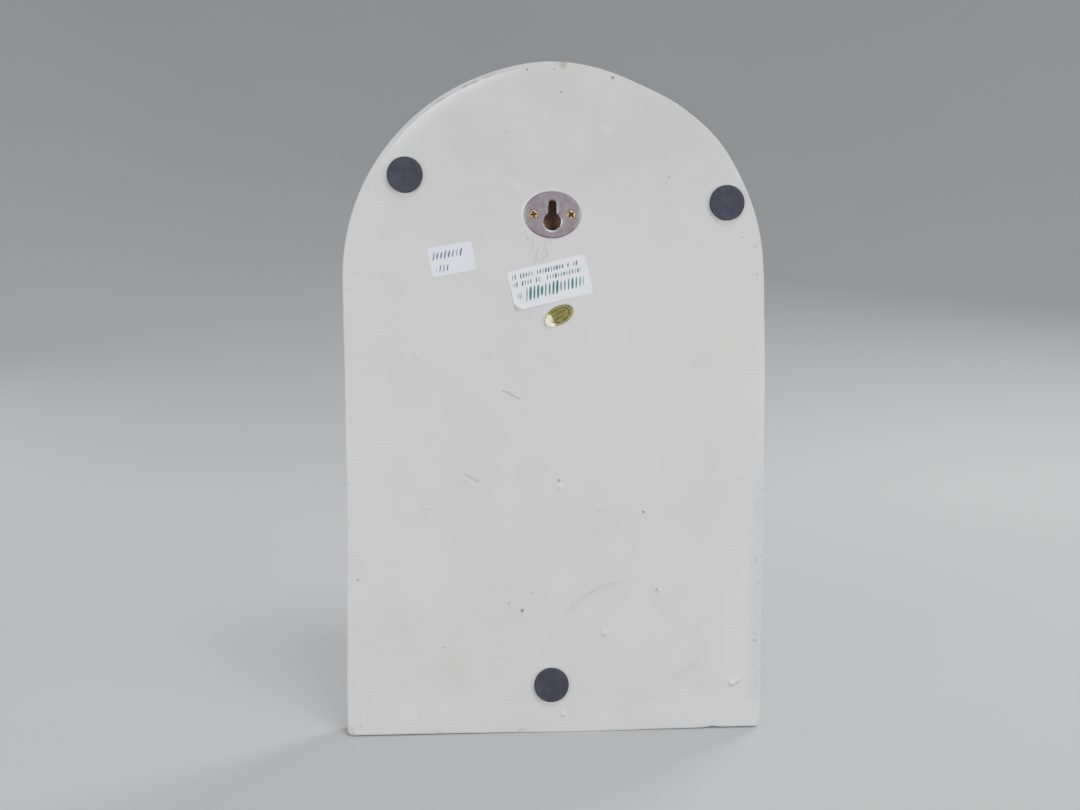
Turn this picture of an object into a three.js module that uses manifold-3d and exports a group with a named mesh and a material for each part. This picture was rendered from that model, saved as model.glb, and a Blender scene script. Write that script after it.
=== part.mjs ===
// An arched wall plaque, cast in one piece and painted off-white, that hangs on a wall screw by a
// keyhole plate let into its back. Millimetres, +Z up, the decorated front faces -Y and the back
// faces the wall at +Y. The origin is on the keyhole plate's outer face, just above its slot,
// where the wall screw holds it. Left and right are as seen from behind, where everything is fixed.
import * as THREE from 'three';
import { mergeVertices } from 'three/addons/utils/BufferGeometryUtils.js';
import Module from 'manifold-3d';

const wasm = await Module();
wasm.setup();

// ---------------------------------------------------------------- driving dimensions

const WIDTH = 238;
const ARCH = { radius: 118.6, centreX: 1.2, centreZ: 259.4 };
const CORNER_RADIUS = 2.5;
const FIELD_DEPTH = 15;       // from the back to the sunk field of the front
const RIM_DEPTH = 22.5;       // from the back to the front of the rim
const RIM_WIDTH = 17.5;
const CONTACT_GAP = 0.3;      // left between a piece and the hole it sits in

// The outline was cut and rubbed down by hand, so it wanders: each swell is a smooth bump on it.
const ARCH_SWELLS = [         // at in degrees round the arch from its +X end
  { at: 140, out: 1.0, spread: 9 },
  { at: 113, out: -1.35, spread: 9.5 },
  { at: 87, out: 0.9, spread: 11 },
  { at: 175, out: -0.35, spread: 8 },
];
const SIDE_SWELLS = {         // at in mm above the bottom edge
  '+1': [{ at: 255, out: 0.8, spread: 40 }, { at: 130, out: -0.4, spread: 30 }],
  '-1': [{ at: 262, out: -1.6, spread: 40 }, { at: 120, out: 0.4, spread: 30 }],
};

// The rim's moulding from the back edge round to the field: [inset from the outline, depth].
const RIM_PROFILE = [
  [1.2, 0], [0, 1.2], [0, RIM_DEPTH - 2.7], [0.8, RIM_DEPTH - 0.9], [2.6, RIM_DEPTH],
  [8.5, RIM_DEPTH], [10, RIM_DEPTH - 0.6], [12, RIM_DEPTH - 2.9], [13.4, RIM_DEPTH - 4.6],
  [15, FIELD_DEPTH + 2.3], [16.2, FIELD_DEPTH + 2.2], [16.6, FIELD_DEPTH + 0.6],
  [RIM_WIDTH, FIELD_DEPTH],
];

const PLATE = {
  x: 3.5, z: 294.7, width: 32, height: 26, thickness: 1.6, proud: 0.4, bevel: 0.4,
};
const KEYHOLE = { radius: 5, drop: 3.9, slotWidth: 4.7, slotTop: 8 };
const RECESS = { depth: 1.5, margin: 0.5 };
const POCKET = { halfWidth: 7, top: 3, bottom: -4.4, depth: 10 };
const SCREW = {
  offset: 10.5, headRadius: 2.5, headDepth: 1.5, shankRadius: 1.4, length: 12, sunk: 0.05,
  turnLeft: 8, turnRight: 40,
};
const SCREW_CROSS = { length: 3, width: 0.7, depth: 0.8 };

const PAD = { radius: 10, thickness: 2.5, edge: 0.5, segments: 32 };
const PAD_PLACES = {
  felt_pad_left: [85.2, 315.7],
  felt_pad_right: [-94.9, 302.0],
  felt_pad_bottom: [3.1, 27.75],
};

const PAPER_THICKNESS = 0.2;
const PAPER_LABEL = { x: 4.6, z: 257.1, width: 44.8, height: 22, corner: 1.6, turn: 13.5 };
const STOCK_STICKER = { x: 59.4, z: 269.7, width: 25, height: 16, corner: 2, turn: 10.4 };
const FOIL_SEAL = { x: -0.7, z: 238.7, width: 17.5, height: 10.5, turn: 28 };

// Front relief: a scallop shell fills the arch above an impost moulding, and a laurel wreath tied
// with a ribbon hangs in the panel below. All of it stays lower than the rim.
const IMPOST = { z: 250, height: 10, rise: 5.2, centreX: 0.6, intoRim: 2 };
const SHELL = {
  hubZ: IMPOST.z + IMPOST.height, hubRadius: 9, bossRadius: 12, radius: 92, flutes: 11,
  scallop: 4.5, lift: 3, rise: 5.6, groove: 3.2, lip: 1.6, lipStart: 0.86, bossRise: 6.2,
};
const WREATH = {
  z: 132, radius: 60, pairs: 8, start: 14, end: 157, splay: 30, stagger: 4, taper: 0.18,
};
const LEAF = { length: 26, halfWidth: 5, keel: 3.6, edge: 1.1 };
const STEM_RADIUS = 1.9;
const EMBED = 1;              // how far a relief piece reaches into the field, so that it joins

const HANG = { x: PLATE.x, z: PLATE.z + (KEYHOLE.slotTop + PLATE.height / 2) / 2 };

// ---------------------------------------------------------------- materials

const paint = new THREE.MeshStandardMaterial({ color: 0xcfccc5, roughness: 0.55, metalness: 0 });
const steel = new THREE.MeshStandardMaterial({ color: 0x9c9696, roughness: 0.45, metalness: 0.9 });
const brass = new THREE.MeshStandardMaterial({ color: 0xb98a4a, roughness: 0.35, metalness: 0.9 });
const felt = new THREE.MeshStandardMaterial({ color: 0x484a52, roughness: 0.95, metalness: 0 });
const paper = new THREE.MeshStandardMaterial({ color: 0xe2e4ec, roughness: 0.7, metalness: 0 });
const foil = new THREE.MeshStandardMaterial({ color: 0xc0a040, roughness: 0.25, metalness: 1 });

// ---------------------------------------------------------------- helpers

const radians = THREE.MathUtils.degToRad;

function swell(swells, position) {
  return swells.reduce((sum, s) => sum + s.out * Math.exp(-(((position - s.at) / s.spread) ** 2)), 0);
}

/** Three.js draws a shape in x and y and pulls it along z. This lays the shape on the plaque's
 *  back, read from behind: its x runs to -X, its y up to Z, and its z out from the wall side. */
const ON_BACK = new THREE.Matrix4().makeBasis(
  new THREE.Vector3(-1, 0, 0), new THREE.Vector3(0, 0, 1), new THREE.Vector3(0, 1, 0),
);

function solid(geometry) {
  const bare = geometry.clone();
  for (const name of Object.keys(bare.attributes)) {
    if (name !== 'position') bare.deleteAttribute(name);
  }
  const merged = mergeVertices(bare, 1e-4);
  return new wasm.Manifold(new wasm.Mesh({
    numProp: 3,
    vertProperties: new Float32Array(merged.attributes.position.array),
    triVerts: new Uint32Array(merged.index.array),
  }));
}

function geometryOf(manifold) {
  const mesh = manifold.getMesh();
  const geometry = new THREE.BufferGeometry();
  geometry.setAttribute('position', new THREE.BufferAttribute(mesh.vertProperties, 3));
  geometry.setIndex(new THREE.BufferAttribute(mesh.triVerts, 1));
  return geometry;
}

function indexedGeometry(points, faces) {
  const geometry = new THREE.BufferGeometry();
  geometry.setAttribute('position', new THREE.Float32BufferAttribute(points.flat(), 3));
  geometry.setIndex(faces);
  return geometry;
}

/** A closed solid between a front and a back sheet. Each sheet is a function of two numbers from
 *  0 to 1, the first across the rows and the second across the columns. */
function solidBetween(rows, columns, front, back) {
  const points = [];
  const faces = [];
  const at = (sheet, i, j) => (sheet * (rows + 1) + i) * (columns + 1) + j;
  const quad = (a, b, c, d) => faces.push(a, b, c, a, c, d);
  for (const sheet of [front, back]) {
    for (let i = 0; i <= rows; i += 1) {
      for (let j = 0; j <= columns; j += 1) points.push(sheet(i / rows, j / columns));
    }
  }
  for (let i = 0; i < rows; i += 1) {
    for (let j = 0; j < columns; j += 1) {
      quad(at(0, i, j), at(0, i + 1, j), at(0, i + 1, j + 1), at(0, i, j + 1));
      quad(at(1, i, j), at(1, i, j + 1), at(1, i + 1, j + 1), at(1, i + 1, j));
    }
    quad(at(0, i, 0), at(1, i, 0), at(1, i + 1, 0), at(0, i + 1, 0));
    quad(at(0, i, columns), at(0, i + 1, columns), at(1, i + 1, columns), at(1, i, columns));
  }
  for (let j = 0; j < columns; j += 1) {
    quad(at(0, 0, j), at(0, 0, j + 1), at(1, 0, j + 1), at(1, 0, j));
    quad(at(0, rows, j), at(1, rows, j), at(1, rows, j + 1), at(0, rows, j + 1));
  }
  return indexedGeometry(points, faces);
}

function roundedRectangle(width, height, radius) {
  const [x, y] = [width / 2 - radius, height / 2 - radius];
  const shape = new THREE.Shape();
  shape.absarc(x, y, radius, 0, Math.PI / 2);
  shape.absarc(-x, y, radius, Math.PI / 2, Math.PI);
  shape.absarc(-x, -y, radius, Math.PI, 1.5 * Math.PI);
  shape.absarc(x, -y, radius, 1.5 * Math.PI, 2 * Math.PI);
  return shape;
}

function ellipse(width, height) {
  return new THREE.Shape().absellipse(0, 0, width / 2, height / 2, 0, 2 * Math.PI);
}

function extruded(shape, depth, curveSegments, bevel = 0) {
  return new THREE.ExtrudeGeometry(shape, {
    depth: depth - 2 * bevel,
    curveSegments,
    bevelEnabled: bevel > 0,
    bevelThickness: bevel,
    bevelSize: bevel,
    bevelOffset: -bevel,
    bevelSegments: 1,
  }).translate(0, 0, bevel);
}

// ---------------------------------------------------------------- plaque body

const BOTTOM_STEPS = 4;
const SIDE_STEPS = 9;
const ARCH_STEPS = 45;
const CORNER_STEPS = 2;

/** The outline drawn in by inset, anticlockwise from the front, as [x, z] points. */
function outline(inset) {
  const halfWidth = WIDTH / 2 - inset;
  const sideX = (side, z) => side * (halfWidth + swell(SIDE_SWELLS[side > 0 ? '+1' : '-1'], z));
  const sideFoot = inset + CORNER_RADIUS;
  const points = [];
  const corner = (side, from) => {
    const centreX = sideX(side, sideFoot) - side * CORNER_RADIUS;
    for (let k = 0; k < CORNER_STEPS; k += 1) {
      const angle = from + (Math.PI / 2) * (k / CORNER_STEPS);
      points.push([
        centreX + CORNER_RADIUS * Math.cos(angle), sideFoot + CORNER_RADIUS * Math.sin(angle),
      ]);
    }
    return centreX;
  };
  const left = corner(-1, Math.PI);
  const right = sideX(1, sideFoot) - CORNER_RADIUS;
  for (let k = 0; k < BOTTOM_STEPS; k += 1) {
    points.push([left + (right - left) * (k / BOTTOM_STEPS), inset]);
  }
  corner(1, -Math.PI / 2);
  for (let k = 0; k < SIDE_STEPS; k += 1) {
    const z = sideFoot + (ARCH.centreZ - sideFoot) * (k / SIDE_STEPS);
    points.push([sideX(1, z), z]);
  }
  for (let k = 0; k <= ARCH_STEPS; k += 1) {
    const degrees = (180 * k) / ARCH_STEPS;
    const radius = ARCH.radius - inset + swell(ARCH_SWELLS, degrees);
    points.push([
      ARCH.centreX + radius * Math.cos(radians(degrees)),
      ARCH.centreZ + radius * Math.sin(radians(degrees)),
    ]);
  }
  for (let k = 1; k < SIDE_STEPS; k += 1) {
    const z = ARCH.centreZ + (sideFoot - ARCH.centreZ) * (k / SIDE_STEPS);
    points.push([sideX(-1, z), z]);
  }
  return points;
}

/** Slab and moulded rim in one: the outline is carried along the rim's profile and capped. */
function slabWithRim() {
  const rings = RIM_PROFILE.map(([inset, depth]) => outline(inset).map(([x, z]) => [x, -depth, z]));
  const count = rings[0].length;
  const faces = [];
  for (let ring = 0; ring < rings.length - 1; ring += 1) {
    for (let k = 0; k < count; k += 1) {
      const next = (k + 1) % count;
      const [a, b] = [ring * count + k, ring * count + next];
      faces.push(a, b, a + count, b, b + count, a + count);
    }
  }
  const cap = (ring, flip) => {
    const flat = rings[ring].map(([x, , z]) => new THREE.Vector2(x, z));
    for (const triangle of THREE.ShapeUtils.triangulateShape(flat, [])) {
      const corners = triangle.map((k) => ring * count + k);
      faces.push(...(flip ? corners.reverse() : corners));
    }
  };
  cap(0, true);
  cap(rings.length - 1, false);
  return indexedGeometry(rings.flat(), faces);
}

/** The scallop shell: convex flutes that fan out from a hub on the impost to a scalloped edge. */
function scallopShell() {
  const stepsPerFlute = 6;
  const place = (radius, angle, depth) => [
    radius * Math.cos(angle), -depth, SHELL.hubZ + radius * Math.sin(angle),
  ];
  const across = (j) => 2 * ((j * SHELL.flutes) % 1) - 1;
  const crown = (j) => Math.sqrt(Math.max(0, 1 - across(j) ** 2));
  const reach = (i, j) => SHELL.hubRadius
    + i * (SHELL.radius - SHELL.hubRadius - SHELL.scallop * (1 - crown(j)));
  const front = (i, j) => {
    const ridge = SHELL.lift + (SHELL.rise - SHELL.lift) * i ** 0.8;
    const groove = SHELL.groove * i ** 0.6 * (1 - crown(j));
    const lip = SHELL.lip * Math.max(0, (i - SHELL.lipStart) / (1 - SHELL.lipStart)) ** 2;
    return place(reach(i, j), Math.PI * j, FIELD_DEPTH + ridge - groove - lip);
  };
  const back = (i, j) => place(reach(i, j), Math.PI * j, FIELD_DEPTH - EMBED);
  return solidBetween(6, SHELL.flutes * stepsPerFlute, front, back);
}

/** The boss that the flutes spring from, a flattened dome sunk into the field. */
function shellHub() {
  const profile = [new THREE.Vector2(0, -EMBED), new THREE.Vector2(SHELL.bossRadius, -EMBED)];
  for (let k = 0; k <= 4; k += 1) {
    const angle = (Math.PI / 2) * (k / 4);
    profile.push(new THREE.Vector2(SHELL.bossRadius * Math.cos(angle), SHELL.bossRise * Math.sin(angle)));
  }
  return new THREE.LatheGeometry(profile, 24).rotateX(Math.PI)
    .translate(0, -FIELD_DEPTH, SHELL.hubZ);
}

/** The moulding at the arch's springing: its section is drawn in depth and height, and runs from
 *  rim to rim. */
function impost() {
  const { height, rise, centreX, intoRim } = IMPOST;
  const section = new THREE.Shape();
  section.moveTo(-EMBED, 0);
  section.lineTo(rise * 0.35, 0);
  section.lineTo(rise * 0.35, height * 0.2);
  section.quadraticCurveTo(rise * 0.45, height * 0.5, rise * 0.85, height * 0.6);
  section.lineTo(rise, height * 0.64);
  section.lineTo(rise, height * 0.94);
  section.lineTo(rise * 0.9, height);
  section.lineTo(-EMBED, height);
  const length = WIDTH - 2 * RIM_WIDTH + 2 * intoRim;
  const bar = new THREE.ExtrudeGeometry(section, { depth: length, curveSegments: 4, bevelEnabled: false });
  const alongX = new THREE.Matrix4().makeBasis(
    new THREE.Vector3(0, -1, 0), new THREE.Vector3(0, 0, 1), new THREE.Vector3(-1, 0, 0),
  );
  return bar.applyMatrix4(alongX).translate(length / 2 + centreX, -FIELD_DEPTH, IMPOST.z);
}

/** A point on the wreath's ring, by degrees up one side from the ribbon at its foot. */
function onWreath(side, degrees, radius = WREATH.radius) {
  return [side * radius * Math.sin(radians(degrees)), WREATH.z - radius * Math.cos(radians(degrees))];
}

/** One laurel leaf with a raised keel, lying from its foot along a direction in the front plane. */
function laurelLeaf([footX, footZ], heading, scale) {
  const along = [Math.cos(heading), Math.sin(heading)];
  const place = (t, side, depth) => {
    const halfWidth = 0.35 + LEAF.halfWidth * Math.sin(Math.PI * t ** 0.85) ** 0.9;
    const offset = side * halfWidth * scale;
    const distance = t * LEAF.length * scale;
    return [
      footX + along[0] * distance - along[1] * offset, -depth,
      footZ + along[1] * distance + along[0] * offset,
    ];
  };
  const front = (t, j) => {
    const side = 2 * j - 1;
    const keel = LEAF.keel * Math.sin(Math.PI * (0.12 + 0.76 * t)) * (1 - Math.abs(side));
    return place(t, side, FIELD_DEPTH + LEAF.edge + keel);
  };
  const back = (t, j) => place(t, 2 * j - 1, FIELD_DEPTH - EMBED);
  return solidBetween(4, 2, front, back);
}

function wreathStem(side) {
  const points = [];
  for (let degrees = 0; degrees <= WREATH.end; degrees += 12) {
    const [x, z] = onWreath(side, degrees);
    points.push(new THREE.Vector3(x, -FIELD_DEPTH, z));
  }
  return new THREE.ExtrudeGeometry(new THREE.Shape().absarc(0, 0, STEM_RADIUS, 0, 2 * Math.PI), {
    steps: 12,
    curveSegments: 3,
    extrudePath: new THREE.CatmullRomCurve3(points),
  });
}

function laurelBranch(side) {
  const pieces = [wreathStem(side)];
  for (let k = 0; k < WREATH.pairs; k += 1) {
    const degrees = WREATH.start + (WREATH.end - WREATH.start) * (k / WREATH.pairs);
    const growth = side > 0 ? radians(degrees) : Math.PI - radians(degrees);
    const scale = 1 - WREATH.taper * (k / WREATH.pairs);
    for (const inward of [-1, 1]) {
      const foot = onWreath(side, degrees + (inward > 0 ? WREATH.stagger : 0));
      pieces.push(laurelLeaf(foot, growth + inward * side * radians(WREATH.splay), scale));
    }
  }
  const tip = side > 0 ? radians(WREATH.end) : Math.PI - radians(WREATH.end);
  pieces.push(laurelLeaf(onWreath(side, WREATH.end), tip, 1 - WREATH.taper));
  return pieces;
}

/** The ribbon at the wreath's foot: a knot, two loops and two hanging tails. */
function ribbon() {
  const foot = WREATH.z - WREATH.radius;
  const layOnFront = new THREE.Matrix4().makeBasis(
    new THREE.Vector3(1, 0, 0), new THREE.Vector3(0, 0, 1), new THREE.Vector3(0, -1, 0),
  );
  const lay = (shape, rise, turn, segments) => extruded(shape, rise + EMBED, segments, 0.5)
    .rotateZ(turn).applyMatrix4(layOnFront).translate(0, -FIELD_DEPTH + EMBED, foot);
  const pieces = [lay(roundedRectangle(9, 10, 2.5), 5, 0, 3)];
  for (const side of [-1, 1]) {
    const loop = new THREE.Shape().absellipse(side * 12.5, 0, 11, 5.5, 0, 2 * Math.PI);
    loop.holes.push(new THREE.Path().absellipse(side * 13, 0, 6.5, 2.2, 0, 2 * Math.PI));
    pieces.push(lay(loop, 3.6, side * radians(-16), 8));
    const tail = new THREE.Shape();
    tail.moveTo(0, -2);
    tail.bezierCurveTo(side * 4, -10, side * 14, -10, side * 17, -21);
    tail.lineTo(side * 21, -18.5);
    tail.lineTo(side * 23.5, -23);
    tail.bezierCurveTo(side * 22, -10, side * 10, -6, side * 4, 2);
    pieces.push(lay(tail, 2.6, 0, 6));
  }
  return pieces;
}

/** The hollow behind the plate that the wall screw's head moves in. */
function hangerPocket() {
  const pocket = new THREE.Shape();
  pocket.absarc(0, POCKET.top, POCKET.halfWidth, 0, Math.PI);
  pocket.absarc(0, POCKET.bottom, POCKET.halfWidth, Math.PI, 2 * Math.PI);
  return extruded(pocket, POCKET.depth + 1, 8).translate(0, 0, -POCKET.depth);
}

function plateRecess() {
  const margin = 2 * RECESS.margin;
  return extruded(ellipse(PLATE.width + margin, PLATE.height + margin), RECESS.depth + 1, 16)
    .translate(0, 0, -RECESS.depth);
}

function screwHole(x) {
  return new THREE.CylinderGeometry(
    SCREW.shankRadius + CONTACT_GAP, SCREW.shankRadius + CONTACT_GAP, SCREW.length + 2, 16,
  ).rotateX(Math.PI / 2).translate(x, 0, -SCREW.length / 2);
}

function plaqueBody() {
  let body = solid(slabWithRim());
  const relief = [
    scallopShell(), shellHub(), impost(), ...laurelBranch(1), ...laurelBranch(-1), ...ribbon(),
  ];
  for (const piece of relief) body = body.add(solid(piece));
  const hollows = [plateRecess(), hangerPocket(), screwHole(SCREW.offset), screwHole(-SCREW.offset)];
  for (const hollow of hollows) {
    body = body.subtract(solid(hollow.applyMatrix4(ON_BACK).translate(PLATE.x, 0, PLATE.z)));
  }
  return geometryOf(body);
}

// ---------------------------------------------------------------- hanger plate and screws

function keyholePath() {
  const { radius, drop, slotWidth, slotTop } = KEYHOLE;
  const half = slotWidth / 2;
  const shoulder = Math.acos(half / radius);
  const path = new THREE.Path();
  path.absarc(0, slotTop - half, half, 0, Math.PI);
  path.absarc(0, -drop, radius, Math.PI - shoulder, 2 * Math.PI + shoulder);
  return path;
}

function keyholePlate() {
  const face = ellipse(PLATE.width, PLATE.height);
  face.holes.push(keyholePath());
  let plate = solid(extruded(face, PLATE.thickness, 12, PLATE.bevel));
  for (const side of [-1, 1]) {
    plate = plate.subtract(solid(countersink().translate(side * SCREW.offset, 0, 0)));
  }
  return geometryOf(plate).translate(0, 0, PLATE.proud - PLATE.thickness).applyMatrix4(ON_BACK);
}

/** A cone over a straight hole, both CONTACT_GAP larger than the screw. */
function countersink() {
  const [top, bottom] = [PLATE.thickness, -1];
  const headRadius = SCREW.headRadius + CONTACT_GAP;
  const shankRadius = SCREW.shankRadius + CONTACT_GAP;
  return new THREE.LatheGeometry([
    new THREE.Vector2(0, bottom),
    new THREE.Vector2(shankRadius, bottom),
    new THREE.Vector2(shankRadius, top - SCREW.headDepth + 0.1),
    new THREE.Vector2(headRadius, top - 0.2),
    new THREE.Vector2(headRadius, top + 1),
    new THREE.Vector2(0, top + 1),
  ], 16).rotateX(Math.PI / 2);
}

/** A countersunk screw with its head's top at y = 0 and a cross recess. */
function plateScrew(turn) {
  const { headRadius, headDepth, shankRadius, length } = SCREW;
  let screw = solid(new THREE.LatheGeometry([
    new THREE.Vector2(0, -length),
    new THREE.Vector2(shankRadius * 0.6, -length + 2),
    new THREE.Vector2(shankRadius * 0.85, -headDepth - 0.4),
    new THREE.Vector2(shankRadius * 0.85, -headDepth),
    new THREE.Vector2(headRadius, -0.35),
    new THREE.Vector2(headRadius * 0.96, -0.15),
    new THREE.Vector2(headRadius * 0.6, 0),
    new THREE.Vector2(0, 0),
  ], 16));
  for (const quarter of [0, Math.PI / 2]) {
    const bar = new THREE.BoxGeometry(SCREW_CROSS.length, 2 * SCREW_CROSS.depth, SCREW_CROSS.width);
    screw = screw.subtract(solid(bar.rotateY(quarter + radians(turn))));
  }
  return geometryOf(screw);
}

// ---------------------------------------------------------------- pads and stickers

function feltPad() {
  const { radius, thickness, edge, segments } = PAD;
  return new THREE.LatheGeometry([
    new THREE.Vector2(0, 0),
    new THREE.Vector2(radius, 0),
    new THREE.Vector2(radius, thickness - edge),
    new THREE.Vector2(radius - edge * 0.3, thickness - edge * 0.3),
    new THREE.Vector2(radius - edge, thickness),
    new THREE.Vector2(0, thickness),
  ], segments);
}

function paperSticker({ width, height, corner }) {
  return extruded(roundedRectangle(width, height, corner), PAPER_THICKNESS, 3).applyMatrix4(ON_BACK);
}

function foilSeal() {
  return extruded(ellipse(FOIL_SEAL.width, FOIL_SEAL.height), PAPER_THICKNESS, 16)
    .applyMatrix4(ON_BACK);
}

// ---------------------------------------------------------------- assembly

function part(name, geometry, material, [x, y, z] = [0, 0, 0], turn = 0) {
  const mesh = new THREE.Mesh(geometry, material);
  mesh.name = name;
  mesh.position.set(x, y, z);
  mesh.rotation.y = radians(turn);
  return mesh;
}

const plaque = new THREE.Group();
plaque.position.set(-HANG.x, -PLATE.proud, -HANG.z);

plaque.add(part('plaque_body', plaqueBody(), paint));
plaque.add(part('keyhole_plate', keyholePlate(), steel, [PLATE.x, 0, PLATE.z]));

for (const [name, turn, x] of [
  ['plate_screw_left', SCREW.turnLeft, PLATE.x + SCREW.offset],
  ['plate_screw_right', SCREW.turnRight, PLATE.x - SCREW.offset],
]) {
  plaque.add(part(name, plateScrew(turn), brass, [x, PLATE.proud - SCREW.sunk, PLATE.z]));
}

for (const [name, [x, z]] of Object.entries(PAD_PLACES)) {
  plaque.add(part(name, feltPad(), felt, [x, 0, z]));
}
for (const [name, sticker] of [['paper_label', PAPER_LABEL], ['stock_sticker', STOCK_STICKER]]) {
  plaque.add(part(name, paperSticker(sticker), paper, [sticker.x, 0, sticker.z], sticker.turn));
}
plaque.add(part('foil_seal', foilSeal(), foil, [FOIL_SEAL.x, 0, FOIL_SEAL.z], FOIL_SEAL.turn));

const model = new THREE.Group();
model.add(plaque);

export default model;
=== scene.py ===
# %% [markdown]
# # A cast wall plaque, seen from behind
# The plaque is one casting with a painted skin, and small pieces are fixed to its back: a steel
# hanger plate, two screws, three felt pads and three stickers. The frame holds the true sizes.
# This lesson gives each piece the surface that hands, brushes and years gave the real one.

# %% Load the frame
import math

import bpy
import numpy as np
from mathutils import Matrix, Vector
from mathutils.geometry import delaunay_2d_cdt


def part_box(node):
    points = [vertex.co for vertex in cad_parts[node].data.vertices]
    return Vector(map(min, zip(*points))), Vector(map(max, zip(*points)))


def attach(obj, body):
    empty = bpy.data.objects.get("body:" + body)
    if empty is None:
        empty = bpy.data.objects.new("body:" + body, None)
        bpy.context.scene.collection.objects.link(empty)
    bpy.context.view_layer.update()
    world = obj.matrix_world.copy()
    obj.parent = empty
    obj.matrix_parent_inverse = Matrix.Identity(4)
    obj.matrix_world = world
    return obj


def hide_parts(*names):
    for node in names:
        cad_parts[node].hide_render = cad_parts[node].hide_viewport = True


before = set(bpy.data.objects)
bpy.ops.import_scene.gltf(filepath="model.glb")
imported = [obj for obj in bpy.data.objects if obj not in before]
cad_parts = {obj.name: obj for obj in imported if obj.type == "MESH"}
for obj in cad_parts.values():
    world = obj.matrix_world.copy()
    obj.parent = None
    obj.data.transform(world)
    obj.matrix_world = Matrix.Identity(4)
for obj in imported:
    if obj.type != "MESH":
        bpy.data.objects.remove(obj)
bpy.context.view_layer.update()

# %% [markdown]
# ## Measuring from the frame
# Nothing is fitted afterwards, so every place comes from a box in the frame. Casting and paint are
# easier to think about in millimetres: x across from the plaque's axis, z up from its bottom
# edge, and height out from the back. One function turns that into the frame's metres.

# %% Millimetres on the plaque
MM = 0.001
PLATE_OFF_AXIS = 3.5
body_low, body_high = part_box("plaque_body")
plate_low, plate_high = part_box("keyhole_plate")
AXIS_X = (plate_low.x + plate_high.x) / 2 - PLATE_OFF_AXIS * MM
BACK_Y = body_high.y
BOTTOM_Z = body_low.z
FOOT = Vector((AXIS_X, BACK_Y, BOTTOM_Z))


def pairs(x, z):
    """Rows of x, z. Either may be one number for the whole column."""
    return np.stack(np.broadcast_arrays(x, z), -1)


def to_frame(spots, height):
    """Spots on the back (rows of x, z) at some height, all in mm, as points in the frame."""
    x, z = np.transpose(spots)
    columns = np.broadcast_arrays(AXIS_X + x * MM, BACK_Y + height * MM, BOTTOM_Z + z * MM)
    return np.stack(columns, -1)


def place_of(node):
    """Centre of a CAD node on the back (x, z) and its size (width, thickness, height), in mm."""
    low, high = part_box(node)
    middle = (low + high) / 2
    return ((middle.x - AXIS_X) / MM, (middle.z - BOTTOM_Z) / MM), (high - low) / MM


def top_of(node):
    """Height of a CAD node's highest face over the back, in mm."""
    return (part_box(node)[1].y - BACK_Y) / MM


PLATE, PLATE_SIZE = place_of("keyhole_plate")
PADS = {name: place_of(name)[0] for name in ("felt_pad_left", "felt_pad_right", "felt_pad_bottom")}
print("plate centre", [round(v, 2) for v in PLATE], "pads", PADS)

# %% [markdown]
# ## Noise, falloffs and plain figures
# Hand finish is smooth randomness at several sizes. A small lattice of random numbers, blended
# between its points, gives hills of any size, and a fixed seed gives the same hills every run.
# The other helpers measure distances and fade one thing into another.

# %% Randomness, falloffs and ovals
LATTICE, LATTICE_ORIGIN = 199, 50.5


def hills(x, z, size, seed):
    """Smooth random hills about size mm apart, from -1 to 1."""
    lattice = np.random.default_rng(seed).uniform(-1, 1, (LATTICE, LATTICE))
    u, v = x / size + LATTICE_ORIGIN, z / size + LATTICE_ORIGIN
    iu, iv = np.floor(u).astype(int), np.floor(v).astype(int)
    fu, fv = u - iu, v - iv
    fu, fv = fu * fu * (3 - 2 * fu), fv * fv * (3 - 2 * fv)

    def at(i, j):
        return lattice[(iu + i) % LATTICE, (iv + j) % LATTICE]

    low = at(0, 0) * (1 - fu) + at(1, 0) * fu
    high = at(0, 1) * (1 - fu) + at(1, 1) * fu
    return low * (1 - fv) + high * fv


def ramp(value, low, high):
    """0 below low, 1 above high, smooth between. low may be the larger."""
    t = np.clip((value - low) / (high - low), 0, 1)
    return t * t * (3 - 2 * t)


def bell(value, width):
    """1 where value is 0, fading smoothly to both sides."""
    return np.exp(-(value / width) ** 2)


def distance(x, z, spot):
    return np.hypot(x - spot[0], z - spot[1])


def near_line(x, z, points):
    """Distance to a line through the points."""
    best = np.full(np.shape(x), 1e9)
    for (ax, az), (bx, bz) in zip(points[:-1], points[1:]):
        dx, dz = bx - ax, bz - az
        t = np.clip(((x - ax) * dx + (z - az) * dz) / (dx * dx + dz * dz), 0, 1)
        best = np.minimum(best, np.hypot(x - ax - t * dx, z - az - t * dz))
    return best


def highest(layers):
    return np.max(np.stack(layers), 0)


def round_steps(count):
    """Angles once round a circle."""
    return np.linspace(0, 2 * math.pi, count, endpoint=False)


def oval(half_width, half_height, count, centre=(0, 0), start=0):
    angle = start + round_steps(count)
    return pairs(centre[0] + half_width * np.cos(angle), centre[1] + half_height * np.sin(angle))


print("hills sample", round(float(hills(np.array([10.0]), np.array([20.0]), 30, 1)[0]), 3))

# %% [markdown]
# ## The outline
# The silhouette is an arch on two sides, but it was trimmed by hand, so it wanders by up to a
# millimetre. Smooth bumps added to the radius or to the half width say exactly that, and the same
# function drawn further in gives every line of the rim's moulding.

# %% Outline of the casting
HALF_WIDTH = 119.0
ARCH_RADIUS = 118.6
ARCH_X, ARCH_Z = 1.2, 259.4
CORNER = 2.5
ARCH_SWELLS = ((140, 1.0, 9), (113, -1.35, 9.5), (87, 0.9, 11), (175, -0.35, 8))
SIDE_SWELLS = {
    1: ((255, 0.8, 40), (130, -0.4, 30), (30, 0.3, 14)),
    -1: ((262, -1.6, 40), (120, 0.4, 30), (42, -0.35, 12)),
}
SOLE_SWELLS = ((-12, -0.75, 58), (-91, 0.5, 4), (-104, 0.2, 14))


def swell(swells, position):
    """Sum of smooth bumps, each (where, how far out, how wide)."""
    return sum(out * bell(position - at, spread) for at, out, spread in swells)


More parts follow.
